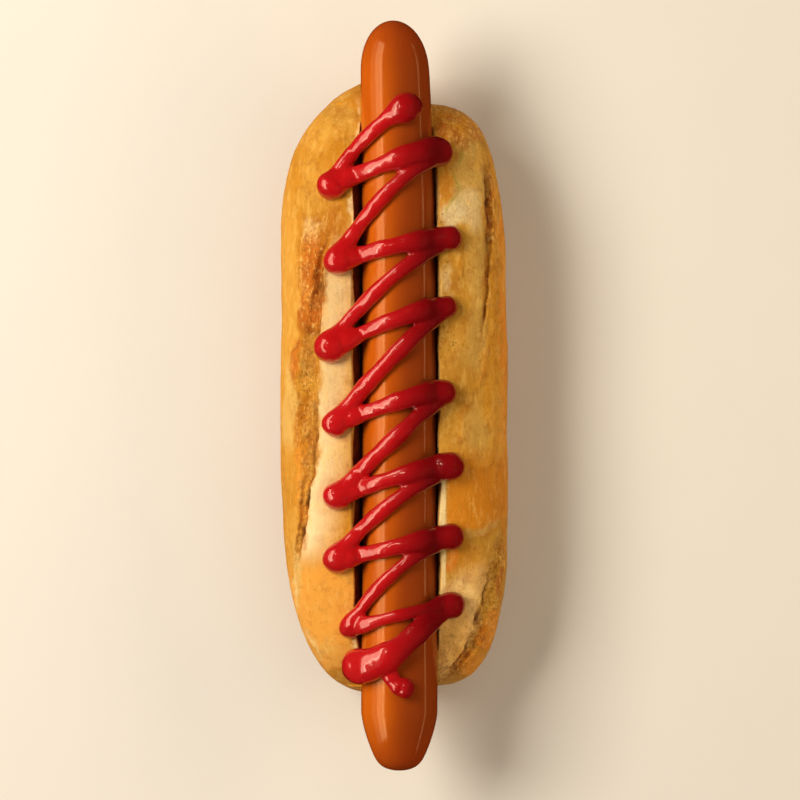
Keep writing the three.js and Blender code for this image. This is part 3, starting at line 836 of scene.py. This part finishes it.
def paintCrust(zones):  # its colours, from the general to the particular
    x, y, z, wx, wy, solid = [zones[name] for name in ("x", "y", "z", "wx", "wy", "solid")]
    offAxis, above, inSlot = zones["offAxis"], zones["above"], zones["inSlot"]
    left = zones["isLeft"]
    bands = crustBands
    colour = np.zeros(x.shape + (3,)) + np.array(tint(crustTints["golden"])[:3])
    colour = paintOver(colour, "ochre", smooth(x, *bands["ochre"]))
    colour = paintOver(colour, "side", 0.8 * (1.0 - smooth(z, *bands["side"])))
    colour = paintOver(colour, "base", 1.0 - smooth(z, *bands["base"]))
    colour = paintOver(colour, "slab", zones["leftSlab"] * (1.0 - smooth(-y, *bands["slabEnd"])))
    # Painted shade on the slab's upper end, under the ear.
    colour = paintOver(colour, "slabShade", 0.8 * zones["leftSlab"] * smooth(y, *bands["slabShade"]))
    for name, middleX, middleY, sizeX, sizeY, tilt, strength in crustPatches:
        mask = strength * patch(wx, wy, middleX, middleY, sizeX, sizeY, tilt, 0.34)
        colour = paintOver(colour, name, mask * above)
    colour = paintOver(colour, "brownPatch", 0.85 * zones["brown"])
    ragged = 0.7 + 0.6 * softNoise(solid, 2.4, 47)
    for name, width, strength, line in crustStreaks:
        mask = np.clip(strength * ragged, 0.0, 1.0) * streak(wx, wy, width, line)
        colour = paintOver(colour, name, mask * above)
    strip = within(offAxis, bands["stripOut"]) * within(-y, bands["stripAlong"])
    shadedEdge = within(-offAxis, bands["shadedEdgeOut"]) * within(y, bands["shadedEdgeAlong"])
    colour = paintOver(colour, "creamLeft", 0.95 * strip * zones["isTop"])
    colour = paintOver(colour, "creamLeft", 0.75 * creamFluff(zones))
    # Painted shade: the crust's edge beside the cut on the left and the cut's left wall take the dark brown
    # of crumb in shade.
    colour = paintOver(colour, "shadedCut", 0.75 * shadedEdge * zones["isTop"])
    colour = paintOver(colour, "shadedCut", inSlot * left)
    colour = paintOver(colour, "cutCream", 0.55 * inSlot * ~left)
    # Painted shade in the sunken layers of the flaky crust.
    sunkenShade = np.clip(-1.6 * flakes(solid), 0.0, 1.0) * zones["rough"]
    return paintOver(colour, "earDark", 0.55 * sunkenShade)


def makeRoll():
    ends = (rollSizes["footY"] + 0.05, rollSizes["headY"] - 0.05)
    points, fromBed = rollSkin(eased(*ends, rollSizes["sections"], 0.55))
    zones = rollZones(points, fromBed)
    undercut(points, zones)
    points = points + gridNormals(points) * rollRelief(zones)[..., None]
    points[..., 2] = np.maximum(points[..., 2], 0.0)
    piece = tubeMesh("roll_dressed", points)
    storeColour(piece, "paint", paintCrust(zones))
    for name in ("crumb", "rough", "specks", "drawn"):
        storeMask(piece, name, zones[name])
    clean = np.clip(patches(zones["wx"], zones["wy"], cleanPatches) + zones["leftSlab"], 0.0, 1.0)
    nearBase = 0.8 * (1.0 - smooth(zones["z"], *crustBands["calmBase"]))
    storeMask(piece, "clean", np.maximum(clean * zones["above"], nearBase))
    # Painted shade: dark in the tears' grooves and deep in the cut on the left, where shade falls.
    cutDepthShade = 0.75 * zones["inSlot"] * zones["isLeft"]
    storeMask(piece, "creviceShade", np.clip(1.15 * zones["groove"] + cutDepthShade, 0.0, 1.0))
    print("roll made:", len(piece.data.polygons), "faces")
    return piece


# The sausage.

sausageLook = dict(
    # Noises: reach, size and seed.
    swells=((0.10, 26.0, 61), (0.03, 7.0, 62)),
    leanStray=((0.05, 16.0, 63), (0.03, 5.0, 64)),
    ends=(100.0, 120.0),  # from where to where it darkens towards both ends
    rightShade=(-0.62, 0.30),  # painted shade, growing from the left of its top to the right, as shares of its half-width
    # how high up the painted shade lies
    rightShadeUp=(22.0, 38.0),
)


def makeSausage():
    s = sausageSizes
    look = sausageLook
    half = s["length"] / 2.0
    y = eased(-half, half, s["sections"], 0.9)
    y[0] += 0.004
    y[-1] -= 0.004
    axisX, radius, full = [values[:, None] for values in sausageAt(y)]
    angle = -2.0 * math.pi * np.arange(s["sides"])[None, :] / s["sides"]
    x = axisX + radius * np.cos(angle)
    z = s["axisZ"] + radius * np.sin(angle)
    points = np.stack([x, np.repeat(y[:, None], s["sides"], axis=1), z], axis=-1)
    swell = strayed(0.0, points, look["swells"]) * smooth(radius, 2.0, 9.0)
    points = points + gridNormals(points) * swell[..., None]
    piece = tubeMesh("sausage_dressed", points)
    storeMask(piece, "ends", smooth(np.abs(points[..., 1]), *look["ends"]))
    # Painted shade: the casing is coloured darker towards the right of its upper half, away from the light.
    lean = (points[..., 0] - axisX) / np.maximum(full, 1.0)
    rightShade = smooth(strayed(lean, points, look["leanStray"]), *look["rightShade"])
    storeMask(piece, "rightShade", rightShade * smooth(points[..., 2], *look["rightShadeUp"]))
    print("sausage made:", len(piece.data.polygons), "faces")
    return piece


# The ketchup.

# The squeezed line, at its start and at each turn: x, y and half-width, then how far the stroke
# that leads there bows towards the head, and that stroke's thinnest half-width.
ketchupTurns = [
    (4.4, 91.6, 4.7),
    (-19.8, 67.1, 4.9, 1.3, 2.5),
    (13.9, 77.5, 4.8, 0.0, 2.7),
    (-17.8, 42.8, 5.0, 0.9, 2.5),
    (17.7, 49.9, 4.1, 0.3, 2.7),
    (-20.3, 15.3, 5.2, 0.9, 2.4),
    (16.7, 28.1, 3.9, 0.1, 2.5),
    (-18.8, -9.2, 4.0, -1.4, 2.7),
    (16.1, 1.1, 4.2, 0.2, 2.5),
    (-18.2, -32.1, 4.7, -2.5, 2.7),
    (18.0, -22.5, 4.4, 0.1, 2.5),
    (-18.1, -52.2, 4.9, 0.9, 2.5),
    (18.2, -44.9, 4.3, -0.6, 2.5),
    (-13.8, -74.0, 3.8, 2.4, 2.2),
    (18.5, -66.8, 4.7, 0.2, 2.0),
    (-11.0, -86.0, 5.7, 1.1, 3.6),
]
ketchupDrip = [(-2.2, -86.0, 3.2), (3.4, -92.8, 3.2, -0.9, 2.7)]

ketchupLook = dict(
    lastStroke=14,
    returning=((0.37, 0.25), (0.8, 0.66)),  # control points, as shares of the run along x and y
    crossing=((0.33, 0.38), (0.68, 0.93)),
    last=((0.26, 0.25), (0.61, 1.02)),
    buried=0.8,
    lastStart=0.66,
    thinBy=0.3,  # by what share of its run a stroke is at its thinnest
    swellsFrom=0.35,  # and from where it swells towards its end
    turnFrom=0.82,  # the same for the strokes that come back
    ballFrom=0.72,  # and for the last crossing stroke, which ends in a ball
    waver=0.05,
    capRings=8,
    bodyRise=0.44,  # the stroke's height as shares of its half-width
    backRise=0.86,
    sink=0.25,  # how far its foot sinks into what it lies on
    hang=5.5,  # how far an edge hangs down where there is nothing under it
    droop=2.2,  # and how far a stroke's round end dips there
    steps=56,
    sides=22,
    voxel=0.42,
    ripple=0.16,
    ripples=((1.0, 4.5, 71), (0.5, 1.9, 72)),  # shares, sizes and seeds
    valleyAt=11.2,  # how far right of the sausage's axis the painted shade is strongest
    valleyWidth=3.0,
)


def groundAt(x, y):  # height of what the ketchup lies on
    axisX, radius, full = sausageAt(y)
    off = np.abs(x - axisX)
    onSausage = np.where(
        off < 0.98 * radius,
        sausageSizes["axisZ"] + np.sqrt(np.maximum(0.0, radius ** 2 - off ** 2)),
        0.0,
    )
    edge = np.where(x < axisX, slotHalf(-1, y), slotHalf(1, y))
    onRoll = np.where(off < edge, 0.0, rollTop(x, y, rollAt(y)))
    return np.maximum(onSausage, onRoll)


def drapedAt(x, y):  # the same, with the gaps beside the sausage bridged
    height = np.zeros_like(x)
    for off in np.arange(-5.0, 5.01, 0.5):
        height = np.maximum(height, groundAt(x + off, y) - off ** 2 / 9.0)
    return height


def strokePath(start, end, index):  # its middle line, direction and half-width, step by step
    look = ketchupLook
    isReturning = end[0] < start[0]
    isLast = index == look["lastStroke"]
    bend = look["last"] if isLast else look["returning"] if isReturning else look["crossing"]
    p0 = np.array(start[:2])
    p3 = np.array(end[:2])
    run = p3 - p0
    headwards = np.array([-run[1], run[0]]) / np.linalg.norm(run) * (-end[3] if isReturning else end[3])
    p1 = p0 + run * np.array(bend[0]) + headwards
    p2 = p0 + run * np.array(bend[1]) + headwards
    t = np.linspace(0.0, 1.0, look["steps"])[:, None]
    path = (1 - t) ** 3 * p0 + 3 * (1 - t) ** 2 * t * p1 + 3 * (1 - t) * t * t * p2 + t ** 3 * p3
    tangent = 3 * (1 - t) ** 2 * (p1 - p0) + 6 * (1 - t) * t * (p2 - p1) + 3 * t * t * (p3 - p2)
    tangent /= np.linalg.norm(tangent, axis=1, keepdims=True)
    t = t[:, 0]
    first = start[2] * (look["lastStart"] if isLast else look["buried"] if index > 0 else 1.0)
    swellsFrom = look["swellsFrom"] if isLast or not isReturning else look["turnFrom"]
    if index == look["lastStroke"] - 1:
        swellsFrom = look["ballFrom"]
    width = mix(first, end[4], smooth(t, 0.0, look["thinBy"]))
    width = mix(width, end[2], smooth(t, swellsFrom, 1.0))
    return path, tangent, width * (1.0 + look["waver"] * np.sin(t * 19.0 + index * 2.3))


def strokePoints(start, end, index):
    look = ketchupLook
    path, tangent, width = strokePath(start, end, index)
    # Round ends: the rings shrink along a quarter circle past both ends of the path.
    capAngles = np.linspace(0.0, math.pi / 2.0, look["capRings"] + 1)[1:]
    capAngles[-1] -= 0.06
    before = [(0, -width[0] * math.sin(a), math.cos(a)) for a in capAngles[::-1]]
    along = [(k, 0.0, 1.0) for k in range(look["steps"])]
    after = [(look["steps"] - 1, width[-1] * math.sin(a), math.cos(a)) for a in capAngles]
    stations = before + along + after
    at = [k for k, shift, scale in stations]
    shift = np.array([s[1] for s in stations])[:, None]
    scale = np.array([s[2] for s in stations])[:, None]
    around = 2.0 * math.pi * np.arange(look["sides"])[None, :] / look["sides"]
    centre = path[at] + tangent[at] * shift
    across = np.stack([-tangent[at][:, 1], tangent[at][:, 0]], axis=-1)
    thick = width[at][:, None]
    out = np.cos(around) * thick * scale
    rise = np.sin(around)
    x = centre[:, :1] + across[:, :1] * out
    y = centre[:, 1:] + across[:, 1:] * out
    pathFoot = drapedAt(path[at][:, :1], path[at][:, 1:])
    foot = -softMin(look["sink"] - drapedAt(x, y), look["hang"] - pathFoot, 0.8)
    middleFoot = -softMin(-drapedAt(centre[:, :1], centre[:, 1:]), look["droop"] - pathFoot, 0.4)
    height = look["bodyRise"] * scale + look["backRise"] * rise * scale ** 0.8
    z = np.maximum(middleFoot + thick * height, foot)
    z = np.where(rise < -0.25, foot, z)
    return np.stack([x, y, z], axis=-1)


def makeKetchup():
    look = ketchupLook
    tubes = []
    strokes = [(ketchupDrip[0], ketchupDrip[1], 99)]
    for k in range(len(ketchupTurns) - 1):
        strokes.append((ketchupTurns[k], ketchupTurns[k + 1], k))
    for start, end, index in strokes:
        tubes.append(tubeMesh("ketchup_stroke", strokePoints(start, end, index)))
    bpy.ops.object.select_all(action="DESELECT")
    for tube in tubes:
        tube.select_set(True)
    bpy.context.view_layer.objects.active = tubes[0]
    bpy.ops.object.join()
    piece = tubes[0]
    piece.name = "ketchup_dressed"
    remesh = piece.modifiers.new("oneBody", "REMESH")
    remesh.mode = "VOXEL"
    remesh.voxel_size = look["voxel"] * mm
    remesh.use_smooth_shade = True
    calm = piece.modifiers.new("calm", "SMOOTH")
    calm.factor = 0.5
    calm.iterations = 8
    bpy.ops.object.modifier_apply(modifier=remesh.name)
    bpy.ops.object.modifier_apply(modifier=calm.name)
    mesh = piece.data
    points = readVertices(mesh, "co") / mm
    normals = readVertices(mesh, "normal")
    ripple = look["ripple"] * strayed(0.0, points, look["ripples"])
    points = points + normals * (ripple * (normals[:, 2] > -0.2))[:, None]
    mesh.vertices.foreach_set("co", (points * mm).reshape(-1))
    mesh.update()
    mesh.shade_smooth()
    # Painted shade: the ketchup is coloured darker red towards the sausage's right side and past it, most in
    # the valley beside it, where less light falls.
    offAxis = points[:, 0] - sausageSizes["axisX"] + 0.8 * softNoise(points, 4.0, 73)
    valleyShade = bell(offAxis, look["valleyAt"], look["valleyWidth"]) * (0.75 + 0.5 * softNoise(points, 7.0, 74))
    storeMask(piece, "paintedShade", np.clip(0.80 * smooth(offAxis, -7.0, 9.0) + 0.3 * valleyShade, 0.0, 1.0))
    print("ketchup made:", len(mesh.polygons), "faces")
    return piece


# Materials.

def addNode(tree, kind, inputs=None, **settings):
    made = tree.nodes.new(kind)
    for key, value in settings.items():
        setattr(made, key, value)
    for key, value in (inputs or {}).items():
        if isinstance(value, bpy.types.NodeSocket):
            tree.links.new(value, made.inputs[key])
        else:
            made.inputs[key].default_value = value
    return made


def mixColour(tree, share, low, high):
    made = tree.nodes.new("ShaderNodeMix")
    made.data_type = "RGBA"
    for socket, value in ((made.inputs[0], share), (made.inputs[6], low), (made.inputs[7], high)):
        if isinstance(value, bpy.types.NodeSocket):
            tree.links.new(value, socket)
        else:
            socket.default_value = value
    return made.outputs[2]


def maths(tree, operation, first, second=0.0):
    return addNode(tree, "ShaderNodeMath", {0: first, 1: second}, operation=operation).outputs[0]


def ramp(tree, value, low, high):  # 0 to 1 between two values, with soft ends
    inputs = {"Value": value, "From Min": low, "From Max": high}
    return addNode(tree, "ShaderNodeMapRange", inputs, interpolation_type="SMOOTHSTEP").outputs["Result"]


def maskOf(tree, name):
    return addNode(tree, "ShaderNodeAttribute", attribute_name=name).outputs["Fac"]


def squeezed(tree, vector, length):  # makes a pattern longer along the roll
    made = addNode(tree, "ShaderNodeMapping", {"Vector": vector, "Scale": (1.0, length, 1.0)})
    return made.outputs["Vector"]


def newGroup(name, result, **numbers):  # its inputs are a vector and the named numbers, Size in millimetres
    group = bpy.data.node_groups.new(name, "ShaderNodeTree")
    group.interface.new_socket(name="Vector", in_out="INPUT", socket_type="NodeSocketVector")
    for title, number in numbers.items():
        socket = group.interface.new_socket(name=title, in_out="INPUT", socket_type="NodeSocketFloat")
        socket.default_value = number
    group.interface.new_socket(name=result, in_out="OUTPUT", socket_type="NodeSocketFloat")
    source = group.nodes.new("NodeGroupInput").outputs
    target = group.nodes.new("NodeGroupOutput").inputs[result]
    scale = maths(group, "DIVIDE", 1.0 / mm, source["Size"])
    return group, source, target, scale


def makeMottleGroup():  # soft patches, 0 to 1, between two thresholds of a noise
    group, source, target, scale = newGroup("mottle", "Mask", Size=5.0, Low=0.4, High=0.6)
    inputs = {"Vector": source["Vector"], "Scale": scale, "Detail": 4.0, "Roughness": 0.6}
    noise = addNode(group, "ShaderNodeTexNoise", inputs)
    group.links.new(ramp(group, noise.outputs["Fac"], source["Low"], source["High"]), target)
    return group


def makeGrainGroup():  # height of a fine grain with small pits in it
    group, source, target, scale = newGroup("grain", "Height", Size=1.0, Pits=0.4)
    inputs = {"Vector": source["Vector"], "Scale": scale, "Detail": 5.0, "Roughness": 0.65}
    noise = addNode(group, "ShaderNodeTexNoise", inputs)
    coarser = maths(group, "MULTIPLY", scale, 0.8)
    cells = addNode(group, "ShaderNodeTexVoronoi", {"Vector": source["Vector"], "Scale": coarser})
    pit = maths(group, "SUBTRACT", 1.0, ramp(group, cells.outputs["Distance"], 0.0, 0.35))
    deep = maths(group, "MULTIPLY", pit, source["Pits"])
    group.links.new(maths(group, "SUBTRACT", noise.outputs["Fac"], deep), target)
    return group


def makeDotsGroup():  # scattered little dots, 0 to 1
    group, source, target, scale = newGroup("dots", "Mask", Size=1.0, Share=0.5)
    cells = addNode(group, "ShaderNodeTexVoronoi", {"Vector": source["Vector"], "Scale": scale})
    pick = addNode(group, "ShaderNodeSeparateColor", {"Color": cells.outputs["Color"]})
    chosen = maths(group, "LESS_THAN", pick.outputs["Red"], source["Share"])
    radius = maths(group, "MULTIPLY", pick.outputs["Green"], 0.38)
    dot = ramp(group, cells.outputs["Distance"], maths(group, "ADD", radius, 0.12), radius)
    group.links.new(maths(group, "MULTIPLY", dot, chosen), target)
    return group


mottleGroup = makeMottleGroup()
grainGroup = makeGrainGroup()
dotsGroup = makeDotsGroup()


def placeGroup(tree, group, vector, **numbers):
    made = tree.nodes.new("ShaderNodeGroup")
    made.node_tree = group
    tree.links.new(vector, made.inputs["Vector"])
    for title, number in numbers.items():
        made.inputs[title].default_value = number
    return made.outputs[0]


def mottle(tree, vector, size, low, high):
    return placeGroup(tree, mottleGroup, vector, Size=size, Low=low, High=high)


def grain(tree, vector, size, pits):
    return placeGroup(tree, grainGroup, vector, Size=size, Pits=pits)


def dots(tree, vector, size, share):
    return placeGroup(tree, dotsGroup, vector, Size=size, Share=share)


def newMaterial(name, finish):  # finish holds the shader's own numbers by their names
    material = bpy.data.materials.new(name)
    material.use_nodes = True
    tree = material.node_tree
    tree.nodes.clear()
    output = tree.nodes.new("ShaderNodeOutputMaterial")
    shader = tree.nodes.new("ShaderNodeBsdfPrincipled")
    tree.links.new(shader.outputs["BSDF"], output.inputs["Surface"])
    for title, value in finish.items():
        shader.inputs[title].default_value = value
    place = tree.nodes.new("ShaderNodeTexCoord").outputs["Object"]
    return material, tree, shader, place


def addRelief(tree, shader, height, strength, distance):
    inputs = {"Height": height, "Strength": strength, "Distance": distance * mm}
    bump = addNode(tree, "ShaderNodeBump", inputs)
    tree.links.new(bump.outputs["Normal"], shader.inputs["Normal"])


crustLook = dict(
    freckle=tint("a0581a"),
    bloom=tint("e9b452"),
    fleck=tint("f4c76c"),
    scratch=tint("8c4a16"),
    crumbShade=tint("8a5a20"),
    # the near-black of the painted shade in grooves and in the cut
    creviceShade=tint("4a1a0c"),
    speck=tint("4a2f12"),
    # Mottled layers: colour, size, its two thresholds, direction, strength and the mask it keeps to.
    mottles=[
        ("bloom", 6.5, 0.48, 0.70, "lengthwise", 0.42, "spotted"),
        ("freckle", 4.2, 0.50, 0.66, "place", 0.34, "spotted"),
        ("fleck", 1.9, 0.50, 0.66, "lengthwise", 0.26, None),
        ("freckle", 1.5, 0.54, 0.68, "place", 0.28, "spotted"),
        ("fleck", 0.75, 0.54, 0.66, "lengthwise", 0.75, "rough"),
        ("scratch", 0.9, 0.56, 0.68, "drawn", 0.6, "drawn"),
        ("scratch", 1.1, 0.47, 0.64, "place", 0.5, "rough"),
        ("crumbShade", 1.3, 0.50, 0.64, "place", 0.5, "crumb"),
    ],
    # Dotted layers over them: colour, size, share of the cells, strength and mask.
    dots=[
        ("speck", 0.85, 0.6, 1.0, "specks"),
        ("scratch", 1.1, 0.22, 0.20, "spotted"),
    ],
    calm=0.75,  # how much less of it there is on clean crust
    lengthwise=0.35,
    drawn=0.14,
    grainSize=0.9,
    brushedSize=1.6,
    grainShare=0.6,
    relief=(0.8, 0.45),  # strength, and height in millimetres
    finish={
        "Roughness": 0.68,
        "Subsurface Weight": 0.06,
        "Subsurface Radius": (0.003, 0.0012, 0.0005),
        "Specular IOR Level": 0.22,
        "Specular Tint": tint("ffcf8e"),
    },
)


def makeCrustMaterial():
    look = crustLook
    material, tree, shader, place = newMaterial("crust", look["finish"])
    ways = dict(
        place=place,
        lengthwise=squeezed(tree, place, look["lengthwise"]),
        drawn=squeezed(tree, place, look["drawn"]),
    )
    masks = {name: maskOf(tree, name) for name in ("rough", "crumb", "drawn", "specks")}
    calmed = maths(tree, "MULTIPLY", maskOf(tree, "clean"), look["calm"])
    masks["spotted"] = maths(tree, "SUBTRACT", 1.0, calmed)
    colour = addNode(tree, "ShaderNodeAttribute", attribute_name="paint").outputs["Color"]
    for name, size, low, high, way, strength, mask in look["mottles"]:
        share = maths(tree, "MULTIPLY", masks[mask], strength) if mask else strength
        spots = maths(tree, "MULTIPLY", mottle(tree, ways[way], size, low, high), share)
        colour = mixColour(tree, spots, colour, look[name])
    for name, size, cellShare, strength, mask in look["dots"]:
        share = maths(tree, "MULTIPLY", masks[mask], strength)
        spots = maths(tree, "MULTIPLY", dots(tree, place, size, cellShare), share)
        colour = mixColour(tree, spots, colour, look[name])
    # painted shade in the grooves and the cut
    colour = mixColour(tree, maskOf(tree, "creviceShade"), colour, look["creviceShade"])
    tree.links.new(colour, shader.inputs["Base Color"])
    fine = grain(tree, place, look["grainSize"], 0.35)
    brushed = grain(tree, ways["lengthwise"], look["brushedSize"], 0.0)
    height = maths(tree, "MULTIPLY", maths(tree, "ADD", fine, brushed), look["grainShare"])
    addRelief(tree, shader, height, *look["relief"])
    return material


casingLook = dict(
    body=tint("cc6210"),
    streaks=tint("be560d"),
    # the dark colour of the painted shade on the casing's right side
    rightShade=tint("903c11"),
    ends=tint("9c3a10"),
    endStrength=0.6,
    stretch=0.14,
    relief=(0.12, 0.4),
    finish={
        "Roughness": 0.11,
        "Specular IOR Level": 0.30,
        "Specular Tint": tint("f0e6b4"),
        "Subsurface Weight": 0.10,
        "Subsurface Radius": (0.004, 0.0015, 0.0008),
    },
)


def makeCasingMaterial():
    look = casingLook
    material, tree, shader, place = newMaterial("casing", look["finish"])
    stretched = squeezed(tree, place, look["stretch"])
    colour = mixColour(tree, mottle(tree, stretched, 7.0, 0.35, 0.65), look["body"], look["streaks"])
    # painted shade over the casing's right side
    colour = mixColour(tree, maskOf(tree, "rightShade"), colour, look["rightShade"])
    atEnds = maths(tree, "MULTIPLY", maskOf(tree, "ends"), look["endStrength"])
    colour = mixColour(tree, atEnds, colour, look["ends"])
    tree.links.new(colour, shader.inputs["Base Color"])
    addRelief(tree, shader, grain(tree, stretched, 3.0, 0.1), *look["relief"])
    return material


ketchupFinish = dict(
    body=tint("c01419"),
    streaks=tint("ba1115"),
    # the dark red of the painted shade on the ketchup's right part
    deep=tint("70060c"),
    relief=(0.5, 0.3),
    finish={
        "Roughness": 0.24,
        "Specular IOR Level": 0.2,
        "Coat Weight": 1.0,
        "Coat Roughness": 0.035,
        "Subsurface Weight": 0.12,
        "Subsurface Radius": (0.003, 0.0004, 0.0002),
    },
)


def makeKetchupMaterial():
    look = ketchupFinish
    material, tree, shader, place = newMaterial("ketchup", look["finish"])
    colour = mixColour(tree, mottle(tree, place, 5.0, 0.4, 0.7), look["body"], look["streaks"])
    # painted shade over the ketchup's right part
    colour = mixColour(tree, maskOf(tree, "paintedShade"), colour, look["deep"])
    tree.links.new(colour, shader.inputs["Base Color"])
    addRelief(tree, shader, grain(tree, place, 1.7, 0.1), *look["relief"])
    return material


def dress(piece, material, node):
    piece.data.materials.clear()
    piece.data.materials.append(material)
    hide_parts(node)
    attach(piece, "root")


roll = makeRoll()
dress(roll, makeCrustMaterial(), "roll")
sausage = makeSausage()
dress(sausage, makeCasingMaterial(), "sausage")
ketchup = makeKetchup()
dress(ketchup, makeKetchupMaterial(), "ketchup")
print("pieces dressed")


# Floor, light and camera.

stageLook = dict(
    floor=tint("e9e6e0"),
    floorShade=tint("d8d3ca"),
    floorReach=3.0,
    world=tint("fff2e2"),
    worldStrength=0.13,
)

# Lights that only shade the food: name, azimuth, elevation, distance, size, power and colour.
# Azimuth 180 is to the left and 0 to the right.
shadingLights = [
    ("key", 160.0, 46.0, 1.1, (0.7, 0.5), 14.0, "fff4e2"),
    ("fill", 20.0, 66.0, 1.6, (1.6, 1.2), 2.8, "fff0de"),
    ("front", -50.0, 42.0, 1.2, (1.0, 0.8), 1.4, "fff0de"),
    ("side", 2.0, 28.0, 1.0, (0.9, 0.35), 3.2, "ffe2b4"),
]

# The same for lights that are only seen as shine, then the one piece that some of them are for.
shineLights = [
    ("softbox", 176.0, 33.0, 0.8, (1.5, 0.38), 9.5, "ffe0c4", None),
    ("glow", 176.0, 18.0, 0.8, (1.5, 0.5), 4.0, "ffe0c4", sausage),
    ("tube", 176.0, 41.0, 0.78, (1.5, 0.05), 2.0, "ffe0c4", None),
    ("sparkle", 140.0, 58.0, 0.9, (0.11, 0.11), 0.5, "ffe0c4", ketchup),
    ("rim", 0.0, 6.0, 0.7, (1.3, 0.045), 0.85, "ffd2a8", sausage),
]


def makeFloor():
    mesh = bpy.data.meshes.new("floor")
    reach = stageLook["floorReach"]
    corners = [(-reach, -reach, 0), (reach, -reach, 0), (reach, reach, 0), (-reach, reach, 0)]
    mesh.from_pydata(corners, [], [(0, 1, 2, 3)])
    floor = bpy.data.objects.new("floor", mesh)
    bpy.context.scene.collection.objects.link(floor)
    material, tree, shader, place = newMaterial("floor", {"Roughness": 0.8})
    speckle = maths(tree, "MULTIPLY", mottle(tree, place, 60.0, 0.3, 0.7), 0.06)
    shade = mixColour(tree, speckle, stageLook["floor"], stageLook["floorShade"])
    tree.links.new(shade, shader.inputs["Base Color"])
    mesh.materials.append(material)
    floor.visible_glossy = False  # so that its white doesn't veil the dark sides of the shiny pieces


def areaLight(name, azimuth, elevation, distance, size, power, colour):  # it faces the middle of the food
    a = math.radians(azimuth)
    e = math.radians(elevation)
    light = bpy.data.lights.new(name, "AREA")
    light.shape = "RECTANGLE"
    light.size, light.size_y = size
    light.energy = power
    light.color = tint(colour)[:3]
    lamp = bpy.data.objects.new(name, light)
    bpy.context.scene.collection.objects.link(lamp)
    out = Vector((math.cos(a) * math.cos(e), math.sin(a) * math.cos(e), math.sin(e)))
    lamp.location = Vector((0.0, 0.0, 0.03)) + out * distance
    lamp.rotation_euler = out.to_track_quat("Z", "Y").to_euler()
    return lamp


def makeLights():
    world = bpy.data.worlds.new("studio")
    bpy.context.scene.world = world
    world.use_nodes = True
    backdrop = world.node_tree.nodes["Background"]
    backdrop.inputs["Color"].default_value = stageLook["world"]
    backdrop.inputs["Strength"].default_value = stageLook["worldStrength"]
    world.cycles_visibility.glossy = False
    for row in shadingLights:
        areaLight(*row).visible_glossy = False
    for *row, piece in shineLights:
        lamp = areaLight(*row)
        lamp.visible_diffuse = False
        if piece:
            lit = bpy.data.collections.new(lamp.name + "Lit")
            lit.objects.link(piece)
            lamp.light_linking.receiver_collection = lit


def makeCamera():
    eyeHeight = 1.3
    level = 0.036  # the height at which a pixel's size is measured
    pixelSize = 0.00032
    pictureWidth = 800
    lens = bpy.data.cameras.new("camera")
    lens.sensor_width = 36.0
    lens.lens = lens.sensor_width * (eyeHeight - level) / (pixelSize * pictureWidth)
    lens.clip_start = 0.05
    lens.clip_end = 20.0
    camera = bpy.data.objects.new("camera", lens)
    camera.location = (0.00192, -0.00144, eyeHeight)  # it looks straight down
    bpy.context.scene.collection.objects.link(camera)
    bpy.context.scene.camera = camera


makeFloor()
makeLights()
makeCamera()
bpy.context.scene.view_settings.view_transform = "Standard"
print("floor, lights and camera set")

bpy.context.view_layer.update()
